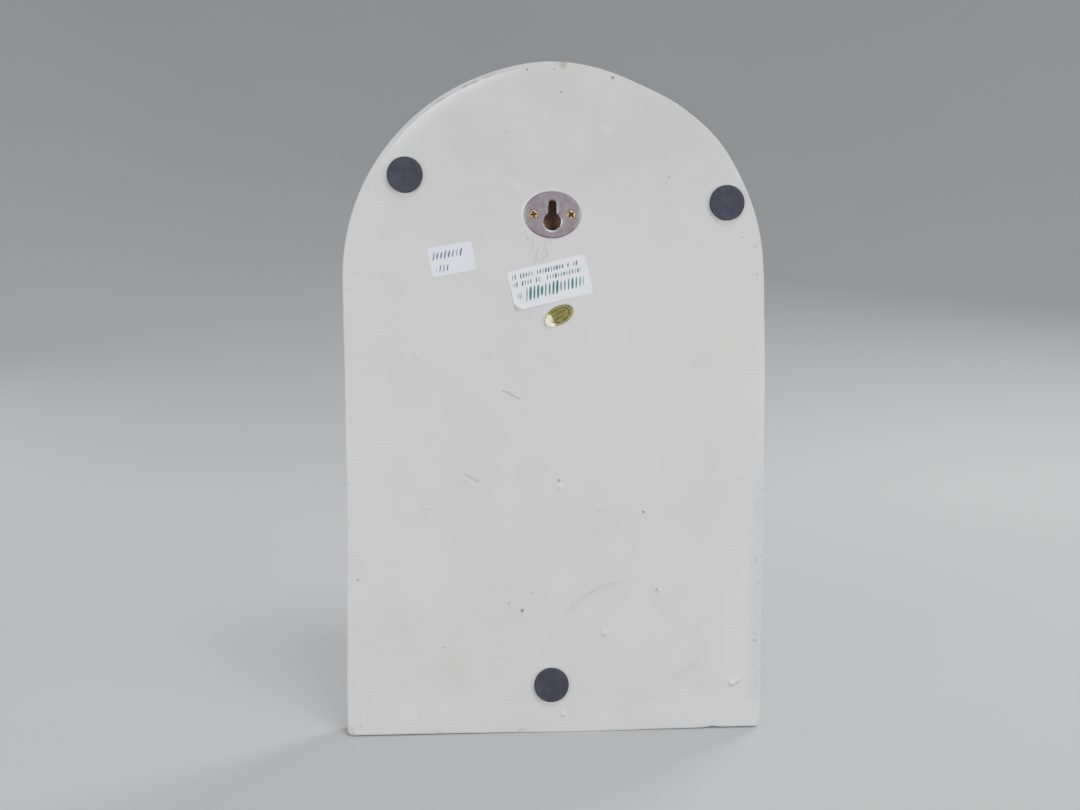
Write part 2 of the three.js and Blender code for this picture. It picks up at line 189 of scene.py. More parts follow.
def sole(x):
    """Height of the bottom edge, which sags in the middle and is nicked near one end."""
    return swell(SOLE_SWELLS, x)


def side_x(side, z, inset=0.0):
    return side * (HALF_WIDTH - inset + swell(SIDE_SWELLS[side], z))


def outline(inset, spacing=1.5):
    """Points (x, z) round the casting at that inset, anticlockwise as seen from the front."""
    foot = inset + CORNER
    runs = []

    def corner(side, start):
        angle = start + np.linspace(0, math.pi / 2, 5, endpoint=False)
        centre = side_x(side, foot, inset) - side * CORNER
        level = foot + sole(centre)
        runs.append(pairs(centre + CORNER * np.cos(angle), level + CORNER * np.sin(angle)))
        return centre

    left = corner(-1, math.pi)
    right = side_x(1, foot, inset) - CORNER
    across = np.linspace(left, right, int(2 * HALF_WIDTH / spacing), endpoint=False)
    runs.append(pairs(across, inset + sole(across)))
    corner(1, -math.pi / 2)
    up = np.linspace(foot + sole(right), ARCH_Z, int(ARCH_Z / spacing), endpoint=False)
    runs.append(pairs(side_x(1, up, inset), up))
    degrees = np.linspace(0, 180, int(math.pi * ARCH_RADIUS / spacing))
    radius = ARCH_RADIUS - inset + swell(ARCH_SWELLS, degrees)
    angle = np.radians(degrees)
    runs.append(pairs(ARCH_X + radius * np.cos(angle), ARCH_Z + radius * np.sin(angle)))
    down = np.linspace(ARCH_Z, foot + sole(left), int(ARCH_Z / spacing), endpoint=False)[1:]
    runs.append(pairs(side_x(-1, down, inset), down))
    return np.concatenate(runs)


def arch_angle(x, z):
    """Degrees round the arch from its +x end."""
    return np.degrees(np.arctan2(z - ARCH_Z, x - ARCH_X))


def inset_of(x, z):
    """How far inside the outline a point lies, in mm, negative outside."""
    arch = ARCH_RADIUS + swell(ARCH_SWELLS, arch_angle(x, z)) - distance(x, z, (ARCH_X, ARCH_Z))
    side = np.where(x > 0, side_x(1, z) - x, x - side_x(-1, z))
    up = z - sole(x)
    rounded = CORNER - np.hypot(CORNER - np.minimum(side, CORNER), CORNER - np.minimum(up, CORNER))
    box = np.where((side < CORNER) & (up < CORNER), rounded, np.minimum(side, up))
    return np.where(z > ARCH_Z, arch, box)


print("outline points", len(outline(0.0)))

# %% [markdown]
# ## The back of the casting
# The back was poured open, scraped level and painted with a broad brush. So it is flat but not
# true: broad hollows, pinholes from air in the mix, nibs of grit under the paint, a few gouges, a
# soft fall at the upper edge and chips where it has been knocked. Each kind of mark is one short
# list, and one function adds them all up to a height.

# %% What the years left on the back, with painted shade in pinholes and under nibs
# The darkness of each pinhole is painted shade inside the hole.
PINHOLES = (  # x, z, radius, how dark, how brown
    (17.7, 374, 0.6, 0.8, 0), (2.7, 374.6, 0.5, 0.55, 0), (-29.8, 370.2, 0.9, 0.25, 0.8),
    (-4.9, 370.2, 0.4, 0.3, 0), (-1.3, 362, 0.6, 0.7, 0), (29.4, 340.3, 0.5, 0.3, 0),
    (-62, 316, 0.6, 0.4, 0), (105.4, 310.6, 0.5, 0.5, 0), (-104, 282.7, 0.6, 0.4, 0),
    (-111.6, 277.7, 0.6, 0.5, 0), (-113, 262, 0.6, 0.5, 0), (-28.8, 148.4, 0.5, 0.3, 0),
    (-49.2, 126.8, 0.9, 0.6, 0.1), (112.8, 89.6, 0.8, 0.45, 0), (14.7, 81.3, 0.5, 0.65, 0.2),
    (27.4, 75.3, 0.6, 0.55, 0.2), (19.9, 70.6, 1.2, 0.35, 0.75), (63.7, 50, 0.7, 0.15, 0.35),
    (111.4, 5.6, 0.6, 0.5, 0), (-32.2, 101, 0.6, 0.1, 0.4), (-0.7, 145.0, 1.1, 0.5, 0),
    (-57.5, 81.8, 0.9, 0.45, 0), (-116.8, 91.9, 0.5, 0.35, 0), (-117.4, 75.5, 0.4, 0.3, 0),
    (-117.3, 63.8, 0.5, 0.6, 0), (-114.5, 55.1, 0.5, 0.4, 0.2), (-114.9, 51.1, 0.6, 0.45, 0.2),
)
NIBS = (  # x, z, radius, height
    (78.9, 216.3, 1.3, 0.35), (-7.8, 198.7, 0.9, 0.2), (-39.7, 181, 1.3, 0.3),
    (-1.2, 142.2, 1.8, 0.8), (-23.9, 129.4, 1.5, 0.5), (74.2, 130.2, 1.2, 0.5),
    (-58.7, 81.6, 1.4, 0.8), (-27.2, 57.2, 1.7, 0.7), (34, 39.9, 1.2, 0.4),
    (-105.4, 28.3, 2.0, 1.2), (-102.0, 26.5, 2.1, 1.4), (-3.9, 10.2, 1.9, 0.8),
    (-99.3, 144.6, 3.2, 0.3), (-107, 142, 2.4, 0.25), (8.4, 347.2, 4.5, 0.2),
    (-26, 341, 3.5, 0.3), (24, 309, 3.0, 0.4), (96, 226, 1.1, 0.2), (-81, 338, 3.4, 0.12),
)
SHORT_SCRATCH = ((31, 196.6), (27.5, 195.4), (22, 192))
DEEP_SCRATCH = ((52, 148.6), (48.6, 146.4), (45, 144.6))
SMUDGE = ((-66, 29.8), (-75, 34.8), (-81.5, 39))
GOUGES = (  # points, half width, depth below the paint, negative where paint stands up
    (SHORT_SCRATCH, 0.45, -0.3), (((31, 195.2), (26.5, 192.4)), 0.35, 0.3),
    (DEEP_SCRATCH, 0.7, 0.6), (((53, 147), (50, 144)), 0.9, -0.4),
    (((-7, 71), (-16, 79), (-26, 84.5), (-46, 93)), 1.1, -0.16), (SMUDGE, 1.4, 0.12),
    (((-100.2, 24.6), (-103.4, 24.6), (-107.6, 27.8)), 0.5, 0.35),
)
# Dark lines. The scratches, the smudge and the long lines are marks. The rows by the lump near x -100 to -107
# and those by the nibs near x -27, -57 and -4 are painted shadow on a nib's lower flank.
CREASES_AND_NIB_SHADOWS = (  # points, half width, how dark
    (SHORT_SCRATCH, 0.3, 0.55), (DEEP_SCRATCH, 0.45, 0.35), (SMUDGE, 1.4, 0.10),
    (((-100.2, 24.8), (-103, 24.9), (-104.2, 25.9), (-107.4, 28.3)), 0.4, 0.35),
    (((-99.8, 27.6), (-100.4, 26.2)), 0.3, 0.3), (((-78, 139), (-73, 129)), 0.3, 0.12),
    (((-7, 71), (-16, 79), (-26, 84.5), (-34, 86)), 0.9, 0.16),
    (((-99, 145.4), (-106, 144.6), (-111, 141.6)), 0.5, 0.14), (((-25.6, 55.6), (-28.4, 55.2)), 0.25, 0.4),
    (((-56.2, 81.2), (-56.8, 80.6)), 0.4, 0.4), (((-3, 8.8), (-5, 8.6)), 0.3, 0.25),
)
GLUE_STROKES = (
    ((17.4, 283), (17.0, 279)), ((14.6, 281), (14.2, 277.4), (15.0, 275)), ((19, 285), (17.9, 282.4)),
    ((11.6, 276.2), (12.9, 270.8), (13.9, 266)), ((12.4, 272.0), (11.0, 268.4)),
    ((5.6, 282.0), (7.4, 279.0), (8.3, 275.2), (9.6, 272.8)), ((7.0, 276.0), (6.2, 273.6), (6.8, 271.2)),
    ((4.6, 281.4), (3.9, 279.4)), ((8.6, 270.6), (7.9, 267.6)), ((1.6, 282), (1.1, 280.6)),
)
STAMP = (114.2, 11.8, 2.0)
TOP_SMUDGE = (-1.7, 376.9, 4.0)
EDGE_CHIPS = (  # x, z, radius, depth, brown
    (117.6, 1.6, 3.2, 0.6, 0.55), (-118, 1.4, 3.0, 0.8, 0.15), (-90.5, 0.8, 2.4, 0.5, 0.1),
    (20.6, 0, 2.2, 0.7, 0.1), (68, 0.4, 1.8, 0.4, 0.1), (-73.5, 351, 2.4, 0.4, 0.3),
    (118.4, 143, 2.0, 0.4, 0.1), (118.2, 120, 2.0, 0.5, 0.15), (-118.4, 138, 2.0, 0.5, 0.1),
)
RIM_FLAKES = (  # start and end in degrees round the arch, inset, half width, how brown
    (54.6, 57.8, 1.9, 0.85, 0.85), (63.4, 67.8, 1.8, 0.90, 1.0), (69.2, 73.4, 1.2, 0.60, 0.70),
    (58.2, 61.6, 1.9, 0.40, 0.40), (45.0, 49.5, 1.4, 0.40, 0.35), (50.2, 54.2, 1.7, 0.40, 0.35),
    (74.6, 79.0, 1.8, 0.35, 0.35), (38.0, 43.5, 1.3, 0.30, 0.25),
)
print("marks", len(PINHOLES) + len(NIBS) + len(GOUGES) + len(EDGE_CHIPS) + len(RIM_FLAKES))

# %% Height of the back
BACK_ROUND = 1.0
SHELF_WIDTH, SHELF_SLOPE = 1.9, 0.5
PAD_RADIUS, PAD_FLAT = 10.0, 15.0
RECESS_MARGIN = 0.05
HOLE_W, HOLE_H = PLATE_SIZE.x / 2 + RECESS_MARGIN, PLATE_SIZE.z / 2 + RECESS_MARGIN
RECESS_FLOOR, POCKET_FLOOR = -1.5, -10.0
POCKET_HALF, POCKET_TOP, POCKET_BOTTOM = 7.0, 3.0, -4.4


def beyond_plate(x, z):
    """Distance outside the oval hole that the plate sits in, about in mm."""
    share = np.hypot((x - PLATE[0]) / HOLE_W, (z - PLATE[1]) / HOLE_H)
    return (share - 1) * np.sqrt(HOLE_W * HOLE_H)


def beyond_pocket(x, z):
    x, z = x - PLATE[0], z - PLATE[1]
    return np.hypot(x, z - np.clip(z, POCKET_BOTTOM, POCKET_TOP)) - POCKET_HALF


def edge_chip(x, z):
    """Depth lost to chips, in mm, and how brown each is."""
    ragged = 1 + 0.45 * hills(x, z, 1.7, 31) + 0.25 * hills(x, z, 0.8, 32)
    bites = [ramp(distance(x, z, row) * ragged, row[2], row[2] * 0.45) for row in EDGE_CHIPS]
    return [highest([row[k] * bite for row, bite in zip(EDGE_CHIPS, bites)]) for k in (3, 4)]


def rim_flakes(x, z, inset):
    """Long thin flakes that follow the worn crest of the arch, from 0 to 1."""
    angle, found = arch_angle(x, z), [0 * x]
    wander = inset + 0.25 * hills(angle * 2, 0 * x, 2.2, 33)
    for start, end, at, half_width, tone in RIM_FLAKES:
        along = ramp(angle, start - 0.3, start + 0.5) * ramp(angle, end + 0.3, end - 0.5)
        found.append(tone * along * ramp(np.abs(wander - at), half_width, half_width * 0.3))
    return np.where(z > ARCH_Z, highest(found), 0)


def on_arch(x, z, *degrees):
    """1 on part of the arch: degrees says where it begins, is whole, is still whole and ends."""
    start, whole, still, end = degrees
    angle = arch_angle(x, z)
    return ramp(angle, start, whole) * ramp(angle, end, still) * (z > ARCH_Z)


def shelf_line(x, z):
    """Inset of the ragged line where the worn shelf at the upper left ends."""
    return SHELF_WIDTH + 0.35 * hills(x, z, 2.0, 34)


def shelf_reach(x, z):
    """How far the slope beside the shelf runs, which grows less round the arch."""
    return np.interp(arch_angle(x, z), (40, 62, 78), (3.8, 2.1, 1.3))


def back_height(x, z):
    """Height of the painted back over its nominal plane, in mm."""
    inset = inset_of(x, z)
    height = 0.34 * hills(x, z, 62, 1) + 0.2 * hills(x, z * 1.5, 24, 2) + 0.06 * hills(x, z * 1.6, 9, 3) - 0.3
    for spot in PADS.values():
        height *= ramp(distance(x, z, spot), PAD_RADIUS, PAD_FLAT)
    fall, reach = on_arch(x, z, 22, 42, 74, 92), shelf_reach(x, z)
    height -= fall * SHELF_SLOPE * reach * np.exp(-np.maximum(0, inset - shelf_line(x, z)) / reach)
    height -= 0.12 * rim_flakes(x, z, inset)
    height -= (1 - fall) * 0.35 * ramp(inset, 7, 0)
    lost = np.clip(BACK_ROUND - inset, 0, BACK_ROUND)
    height -= BACK_ROUND - np.sqrt(BACK_ROUND ** 2 - lost ** 2)
    height -= edge_chip(x, z)[0]
    for *spot, radius, _, _ in PINHOLES:
        away = distance(x, z, spot) / radius
        height += radius * (0.10 * bell(away - 1.6, 0.5) - 0.8 * ramp(away, 1.1, 0.35))
    for *spot, radius, high in NIBS:
        away = distance(x, z, spot) * (1 + 0.3 * hills(x, z, radius, 41)) / radius
        height += 1.4 * high * np.exp(-(away ** 2) * 1.3)
    for points, half_width, deep in GOUGES:
        height -= deep * bell(near_line(x, z, points), half_width)
    height -= 0.3 * bell(distance(x, z, STAMP) - STAMP[2], 0.45)
    plate = beyond_plate(x, z)
    height += 0.32 * bell(plate - 0.6, 0.7) * (0.6 + 0.6 * hills(x, z, 6, 5))
    height = np.where(plate < 0.05, RECESS_FLOOR, height)
    return np.where(beyond_pocket(x, z) < 0, POCKET_FLOOR, height)


print("back relief at the middle, mm", round(float(back_height(np.zeros(1), np.full(1, 180.0))[0]), 3))

# %% [markdown]
# ## The decorated front
# The front faces away from the wall and keeps to low relief, as a casting must to leave its
# mould: a moulded rim, a scallop shell in the arch, an impost moulding and a laurel wreath. With
# no undercuts, one number says it all: the depth from the back at each point. Each ornament is a
# function of place, and the highest of them wins.

# %% Rim, shell and impost
FIELD, RIM, FILLET = 15.0, 22.5, 17.25
OUTER_ROUND = 2.7
IMPOST_Z, IMPOST_HEIGHT, IMPOST_RISE = 250.0, 10.0, 5.2
SHELL = (0, IMPOST_Z + IMPOST_HEIGHT)
SHELL_HUB, SHELL_BOSS, SHELL_RADIUS, FLUTES = 9.0, 12.0, 92.0, 11
SHELL_SCALLOP, SHELL_LIFT, SHELL_RISE, SHELL_GROOVE, SHELL_LIP, BOSS_RISE = 4.5, 3.0, 5.6, 3.2, 1.6, 6.2


def rim_depth(inset):
    """The rim's section: rounded edge, flat, ogee, fillet and the drop to the field."""
    lost = np.clip(OUTER_ROUND - inset, 0, OUTER_ROUND)
    depth = RIM - OUTER_ROUND + np.sqrt(OUTER_ROUND ** 2 - lost ** 2)
    return depth - (RIM - FILLET) * ramp(inset, 8.5, 15) - (FILLET - FIELD) * ramp(inset, 16.2, 17.2)


def flute_crown(angle):
    """1 on a flute's crown and 0 in the groove, round the shell by angle in radians."""
    across = 2 * ((angle / math.pi * FLUTES) % 1) - 1
    return np.sqrt(np.maximum(0, 1 - across ** 2))


def shell_reach(crown):
    return SHELL_RADIUS - SHELL_SCALLOP * (1 - crown)


def shell_depth(x, z):
    radius, crown = distance(x, z, SHELL), flute_crown(np.arctan2(z - SHELL[1], x))
    reach = shell_reach(crown)
    i = np.clip((radius - SHELL_HUB) / (reach - SHELL_HUB), 0, 1)
    ridge = SHELL_LIFT + (SHELL_RISE - SHELL_LIFT) * i ** 0.8
    growth = 0.10 * np.sin(i * 46) * ramp(i, 0.25, 0.6) * crown
    depth = FIELD + ridge - SHELL_GROOVE * i ** 0.6 * (1 - crown) + growth
    depth -= SHELL_LIP * ramp(i, 0.86, 1.0) ** 2
    inside = (radius > SHELL_HUB) & (radius <= reach) & (z >= SHELL[1])
    boss = FIELD + BOSS_RISE * np.sqrt(np.maximum(0, 1 - (radius / SHELL_BOSS) ** 2))
    return np.maximum(np.where(inside, depth, 0), np.where(radius < SHELL_BOSS, boss, 0))


def impost_depth(z):
    """Fillet, swept hollow, flat face and eased top, by height up the moulding from 0 to 1."""
    t = (z - IMPOST_Z) / IMPOST_HEIGHT
    rise = np.interp(t, (0, 0.2, 0.35, 0.5, 0.6, 0.64, 0.94, 1), (0.35, 0.35, 0.42, 0.6, 0.85, 1, 1, 0.9))
    return np.where((t >= 0) & (t <= 1), FIELD + IMPOST_RISE * rise, 0)


print("rim section, mm", [round(float(rim_depth(np.array(v))), 1) for v in (0, 3, 10, 15.5, 17.5)])

# %% [markdown]
# ### The laurel wreath
# Two branches spring from a ribbon. Each leaf has its own small coordinates, t along it and s
# across it, and its relief is a rounded blade with a sunk midrib and faint side veins.

# %% Laurel wreath and ribbon
WREATH, WREATH_RADIUS, LEAF_PAIRS = (0, 132.0), 60.0, 8
WREATH_FOOT = WREATH[1] - WREATH_RADIUS
WREATH_START, WREATH_END, SPLAY, STAGGER, TAPER = 14.0, 157.0, 30.0, 4.0, 0.18
LEAF_LENGTH, LEAF_HALF, LEAF_KEEL, LEAF_EDGE = 26.0, 5.0, 3.6, 1.1
STEM = 1.9


def laurel_leaves():
    """(foot x, foot z, heading in radians, scale) of every leaf."""
    leaves = []
    for side in (1, -1):
        for k in range(LEAF_PAIRS + 1):
            degrees = WREATH_START + (WREATH_END - WREATH_START) * k / LEAF_PAIRS
            growth = math.radians(degrees) if side > 0 else math.pi - math.radians(degrees)
            for inward in (-1, 1) if k < LEAF_PAIRS else (0,):
                angle = math.radians(degrees + STAGGER * max(inward, 0))
                foot = (side * WREATH_RADIUS * math.sin(angle), WREATH[1] - WREATH_RADIUS * math.cos(angle))
                heading = growth + inward * side * math.radians(SPLAY)
                leaves.append((*foot, heading, 1 - TAPER * k / LEAF_PAIRS))
    return leaves


LEAVES = laurel_leaves()


def leaf_half_width(t):
    return 0.35 + LEAF_HALF * np.sin(np.pi * np.clip(t, 0, 1) ** 0.85) ** 0.9


def leaf_depth(x, z, leaf):
    foot_x, foot_z, heading, scale = leaf
    dx, dz = (x - foot_x) / scale, (z - foot_z) / scale
    t = (dx * math.cos(heading) + dz * math.sin(heading)) / LEAF_LENGTH
    across = -dx * math.sin(heading) + dz * math.cos(heading)
    s = np.abs(across) / leaf_half_width(t)
    arched = LEAF_KEEL * np.sin(np.pi * (0.12 + 0.76 * np.clip(t, 0, 1)))
    blade = LEAF_EDGE + arched * (1 - np.clip(s, 0, 1) ** 1.7)
    blade -= 0.55 * bell(across, 0.42) * ramp(t, 1.0, 0.8)
    blade += 0.14 * np.sin(40 * t - 5 * s) * ramp(s, 0.1, 0.35) * ramp(s, 1, 0.7)
    return np.where((t >= 0) & (t <= 1) & (s <= 1), FIELD + blade, 0)


def ribbon_depth(x, z):
    """Knot, two loops and two forked tails, as soft-edged bands."""
    up = z - WREATH_FOOT
    knot = np.maximum(np.abs(x) / 4.5, np.abs(up) / 5.0)
    parts = [np.where(knot < 1, FIELD + 5 - 1.4 * knot ** 4 + 0.25 * np.sin(x * 2.4), 0)]
    for side in (-1, 1):
        tilt = math.radians(-16) * side
        lx = side * (x * math.cos(tilt) + up * math.sin(tilt)) - 12.5
        lz = -x * math.sin(tilt) + up * math.cos(tilt)
        outer = np.hypot(lx / 11, lz / 5.5)
        inner = np.hypot((lx - 0.5) / 6.5, lz / 2.2)
        loop = FIELD + 3.6 - 1.3 * outer ** 6 + 0.2 * np.sin(lx)
        parts.append(np.where((outer < 1) & (inner > 1), loop, 0))
        path = [(side * a, -b) for a, b in ((2, 1), (7, 8), (13, 12), (17, 15), (20.5, 20.5))]
        away = near_line(x, up, path) / (1.6 + 0.10 * np.abs(x))
        tail = FIELD + 2.6 - 0.9 * away ** 3 + 0.22 * np.cos(away * 5)
        parts.append(np.where(away < 1, tail, 0))
    return highest(parts)


def front_depth(x, z):
    """Depth of the front from the back plane, in mm."""
    ring = np.abs(distance(x, z, WREATH) - WREATH_RADIUS)
    stem = FIELD + np.sqrt(np.maximum(0, STEM ** 2 - ring ** 2))
    on_stem = (ring < STEM) & (z < WREATH[1] - WREATH_RADIUS * math.cos(math.radians(WREATH_END)))
    depth = highest([rim_depth(inset_of(x, z)), shell_depth(x, z), impost_depth(z),
                     np.where(on_stem, stem, 0), ribbon_depth(x, z)])
    for leaf in LEAVES:
        close = distance(x, z, leaf) < LEAF_LENGTH + 1
        depth[close] = np.maximum(depth[close], leaf_depth(x[close], z[close], leaf))
    return depth + 0.10 * hills(x, z, 30, 11) + 0.035 * hills(x, z, 6, 12) - 0.12


print("leaves", len(LEAVES))

# %% [markdown]
# ## From heights to a mesh
# A regular grid would waste faces on the flat and blur the pinholes. Instead points are laid where
# they are needed: loops along the edges, fans on the shell, rows on each leaf, rings round each
# flaw and a loose triangular grid between. Delaunay triangulation joins any such set of points.

# %% Helpers that lay points


def triangular_grid(low, high, spacing):
    """Rows of points, every other row shifted by half a step."""
    zs = np.arange(low[1], high[1], spacing * math.sqrt(3) / 2)
    xs = np.arange(low[0], high[0], spacing)
    return np.concatenate([pairs(xs + spacing / 2 * (k % 2), z) for k, z in enumerate(zs)])


def rings(centre, radii, count):
    """Concentric rings of points, each turned a little against the last."""
    return np.concatenate([oval(r, r, count, centre, r) for r in radii])


def pocket_loop(grow, count=40):
    angle = round_steps(count)
    shift = np.where(np.sin(angle) >= 0, POCKET_TOP, POCKET_BOTTOM)
    radius = POCKET_HALF + grow
    return pairs(PLATE[0] + radius * np.cos(angle), PLATE[1] + shift + radius * np.sin(angle))


print("loop round the pocket", len(pocket_loop(0.0)), "points")

# %% Points of the back
BACK_LOOPS = (0, 0.15, 0.4, 0.75, 1.1, 1.5, 1.8, 2.1, 2.4, 2.7, 3.1, 4.2, 6.0, 8.2)
GRID_LOW, GRID_HIGH = (-121, 0), (123, 381)
BACK_STEP, FINE_STEP = 2.0, 0.5
GLUE_LOW, GLUE_HIGH = (-3, 265), (22, 284.5)


def points_of_back():
    laid = [outline(inset) for inset in BACK_LOOPS]
    grid = triangular_grid(GRID_LOW, GRID_HIGH, BACK_STEP)
    gx, gz = grid.T
    taken = inset_of(gx, gz) < BACK_LOOPS[-1] + 0.8
    for *spot, radius, _, _ in PINHOLES:
        laid.append(rings(spot, radius * np.array((0.15, 0.5, 0.85, 1.15, 1.6, 2.2)), 12))
        taken |= distance(gx, gz, spot) < 2.4 * radius
    for *spot, radius, _ in NIBS:
        laid.append(rings(spot, radius * np.array((0.1, 0.35, 0.6, 0.85, 1.15, 1.5)), 14))
        taken |= distance(gx, gz, spot) < 1.6 * radius
    laid.append(rings(STAMP[:2], (0.5, 1, 1.4, 1.7, 2.0, 2.3, 2.6, 3.1), 24))
    for points, half_width, _ in GOUGES:
        steps = np.linspace(0, len(points) - 1, 30 * (len(points) - 1))
        along = pairs(*(np.interp(steps, range(len(points)), column) for column in zip(*points)))
        for shift in (-1.6, -0.8, 0, 0.8, 1.6):
            laid.append(along + np.array((0.4, 0.9)) * shift * half_width)
    laid.append(triangular_grid(GLUE_LOW, GLUE_HIGH, FINE_STEP))
    taken |= ((gx > GLUE_LOW[0] - 1) & (gx < GLUE_HIGH[0] + 1)
              & (gz > GLUE_LOW[1] - 0.8) & (gz < GLUE_HIGH[1] + 0.7))
    for grow in (-0.6, 0.0, 0.1, 0.35, 0.65, 1.0, 1.5, 2.2, 3.0):
        laid.append(oval(HOLE_W + grow, HOLE_H + grow, 110, PLATE))
    for grow in (-0.12, 0.05, 1.0):
        laid.append(pocket_loop(grow))
    taken |= beyond_plate(gx, gz) < 3.6
    for x, z, radius, _, _ in EDGE_CHIPS:
        close = triangular_grid((x - radius, z - radius), (x + radius, z + radius), FINE_STEP)
        laid.append(close[inset_of(*close.T) > 0.05])
    return np.concatenate([*laid, grid[~taken]])


back_points = points_of_back()
print("back points", len(back_points))

# %% Points of the front
RIM_LOOPS = (
    0, 0.12, 0.4, 0.8, 1.3, 2.0, 2.8, 5.5, 8.4, 9.4, 10.3, 11.2, 12.1, 13.0, 13.9, 15.0,
    16.15, 16.45, 16.7, 16.95, 17.25, 18.6,
)
ACROSS_FLUTE = np.array((0, .03, .08, .16, .27, .38, .5, .62, .73, .84, .92, .97))
ALONG_FLUTE = (*np.linspace(0.03, 0.86, 34), *np.linspace(0.88, 0.998, 7), 1.006)
BOSS_RINGS = (2, 4, 6, 7.5, 9, 10.3, 11.2, 11.7, 12.0, 12.15)
UP_IMPOST = (-0.02, 0.005, 0.1, 0.2, 0.27, 0.35, 0.43, 0.5, 0.56, 0.6, 0.64, 0.8, 0.94, 0.995, 1.02)
ALONG_LEAF = (-0.01, 0.01, *np.linspace(0.05, 0.95, 17), 0.985, 1.01)
ACROSS_LEAF = (-1.05, -0.96, -0.75, -0.5, -0.28, -0.12, 0, 0.12, 0.28, 0.5, 0.75, 0.96, 1.05)
ACROSS_STEM = (-2.0, -1.85, -1.2, 0, 1.2, 1.85, 2.0)
FRONT_STEP, IMPOST_STEP, RIBBON_STEP = 2.6, 1.6, 0.8
RIBBON_HALF, RIBBON_BELOW, RIBBON_ABOVE = 28, 25, 12


def points_of_shell():
    laid = []
    angle = np.append(np.add.outer(np.arange(FLUTES), ACROSS_FLUTE), FLUTES) / FLUTES * math.pi
    reach = shell_reach(flute_crown(angle))
    for share in ALONG_FLUTE:
        radius = SHELL_HUB + share * (reach - SHELL_HUB)
        fan = pairs(radius * np.cos(angle), SHELL[1] + radius * np.sin(angle))
        laid.append(fan[fan[:, 1] > SHELL[1] + 0.3])
    return laid + [oval(radius, radius, 48, SHELL) for radius in BOSS_RINGS]


def points_of_impost():
    span = np.arange(-HALF_WIDTH + 13, HALF_WIDTH - 12, IMPOST_STEP)
    rows = [pairs(span, IMPOST_Z + IMPOST_HEIGHT * t) for t in UP_IMPOST]
    return [row[distance(*row.T, SHELL) > SHELL_BOSS + 0.4] for row in rows]


def points_of_leaf(foot_x, foot_z, heading, scale):
    t = np.repeat(ALONG_LEAF, len(ACROSS_LEAF))
    s = np.tile(ACROSS_LEAF, len(ALONG_LEAF)) * leaf_half_width(t) * scale
    along = t * LEAF_LENGTH * scale
    return pairs(foot_x + along * math.cos(heading) - s * math.sin(heading),
                 foot_z + along * math.sin(heading) + s * math.cos(heading))


def points_of_front():
    laid = [outline(inset) for inset in RIM_LOOPS] + points_of_shell() + points_of_impost()
    laid += [points_of_leaf(*leaf) for leaf in LEAVES]
    laid += [rings(WREATH, (WREATH_RADIUS + shift,), 260) for shift in ACROSS_STEM]
    laid.append(triangular_grid((-RIBBON_HALF, WREATH_FOOT - RIBBON_BELOW),
                                (RIBBON_HALF, WREATH_FOOT + RIBBON_ABOVE), RIBBON_STEP))
    grid = triangular_grid(GRID_LOW, GRID_HIGH, FRONT_STEP)
    gx, gz = grid.T
    taken = inset_of(gx, gz) < RIM_LOOPS[-1] + 0.8
    taken |= (distance(gx, gz, SHELL) < SHELL_RADIUS + 1.5) & (gz > SHELL[1] - 0.5)
    taken |= (gz > IMPOST_Z - 1) & (gz < IMPOST_Z + IMPOST_HEIGHT + 1)
    taken |= np.abs(distance(gx, gz, WREATH) - WREATH_RADIUS) < 4
    by_ribbon = (gz > WREATH_FOOT - RIBBON_BELOW - 0.5) & (gz < WREATH_FOOT + RIBBON_ABOVE + 0.5)
    taken |= by_ribbon & (np.abs(gx) < RIBBON_HALF + 0.5)
    return np.concatenate([*laid, grid[~taken]])


front_points = points_of_front()
print("front points", len(front_points))

# %% Helpers that join points into pieces
MERGE_WITHIN, LEAST_AREA, EDGE_SLACK = 1e-4, 1e-7, 0.02


def join_points(points, loops, keep):
    """Triangles over flat points. loops are index lists that stay as edges, and keep says which
    places are on the piece. Returns points, triangles and where each first point went."""
    edges = [edge for loop in loops for edge in zip(loop, loop[1:] + loop[:1])]
    flat = [Vector(p) for p in points]
    found, _, faces, source, _, _ = delaunay_2d_cdt(flat, edges, [], 0, MERGE_WITHIN)
    found, faces = np.array([tuple(p) for p in found]), np.array(faces)
    a, b, c = (found[faces[:, k]] for k in range(3))
    area = np.cross(b - a, c - a)
    faces[area < 0] = faces[area < 0][:, ::-1]
    centre = (a + b + c) / 3
    faces = faces[keep(*centre.T) & (np.abs(area) > LEAST_AREA)]
    went = np.zeros(len(points), int)
    for new, old in enumerate(source):
        went[old] = new
    return found, faces, went


def wall(upper, lower):
    """Pairs of triangles that join two rings of point numbers."""
    ahead_u, ahead_l = np.roll(upper, -1), np.roll(lower, -1)
    return np.concatenate([np.stack([upper, ahead_u, lower], 1), np.stack([ahead_u, ahead_l, lower], 1)])


def quads(upper, lower):
    """Four-sided faces that join two rings of point numbers."""
    return np.stack([upper, np.roll(upper, -1), np.roll(lower, -1), lower], 1).tolist()


def link_object(name, data):
    piece = bpy.data.objects.new(name, data)
    bpy.context.scene.collection.objects.link(piece)
    return piece


def mesh_piece(name, points, faces, sharp_degrees, attributes=None):
    """A mesh object at the origin, smooth except across sharp edges. points are in metres.
    Points that no face uses are dropped."""
    used = np.unique(np.concatenate([np.ravel(face) for face in faces]))
    renumber = np.full(len(points), -1)
    renumber[used] = np.arange(len(used))
    mesh = bpy.data.meshes.new(name)
    mesh.from_pydata(points[used].tolist(), [], [renumber[face].tolist() for face in faces])
    for label, values in (attributes or {}).items():
        layer = mesh.attributes.new(label, "FLOAT_COLOR", "POINT")
        layer.data.foreach_set("color", np.ascontiguousarray(values[used], np.float32).ravel())
    mesh.shade_smooth()
    mesh.set_sharp_from_angle(angle=math.radians(sharp_degrees))
    mesh.update()
    return link_object(name, mesh)


def finish_piece(piece, slot, *nodes):
    """Parents the piece to the root body and hides the CAD nodes that it stands for."""
    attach(piece, "root")
    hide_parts(*nodes)
    print(piece.name, len(piece.data.polygons), "faces, stands for", nodes)


print("a wall between two rings of 4 has", len(wall(np.arange(4), np.arange(4, 8))), "triangles")
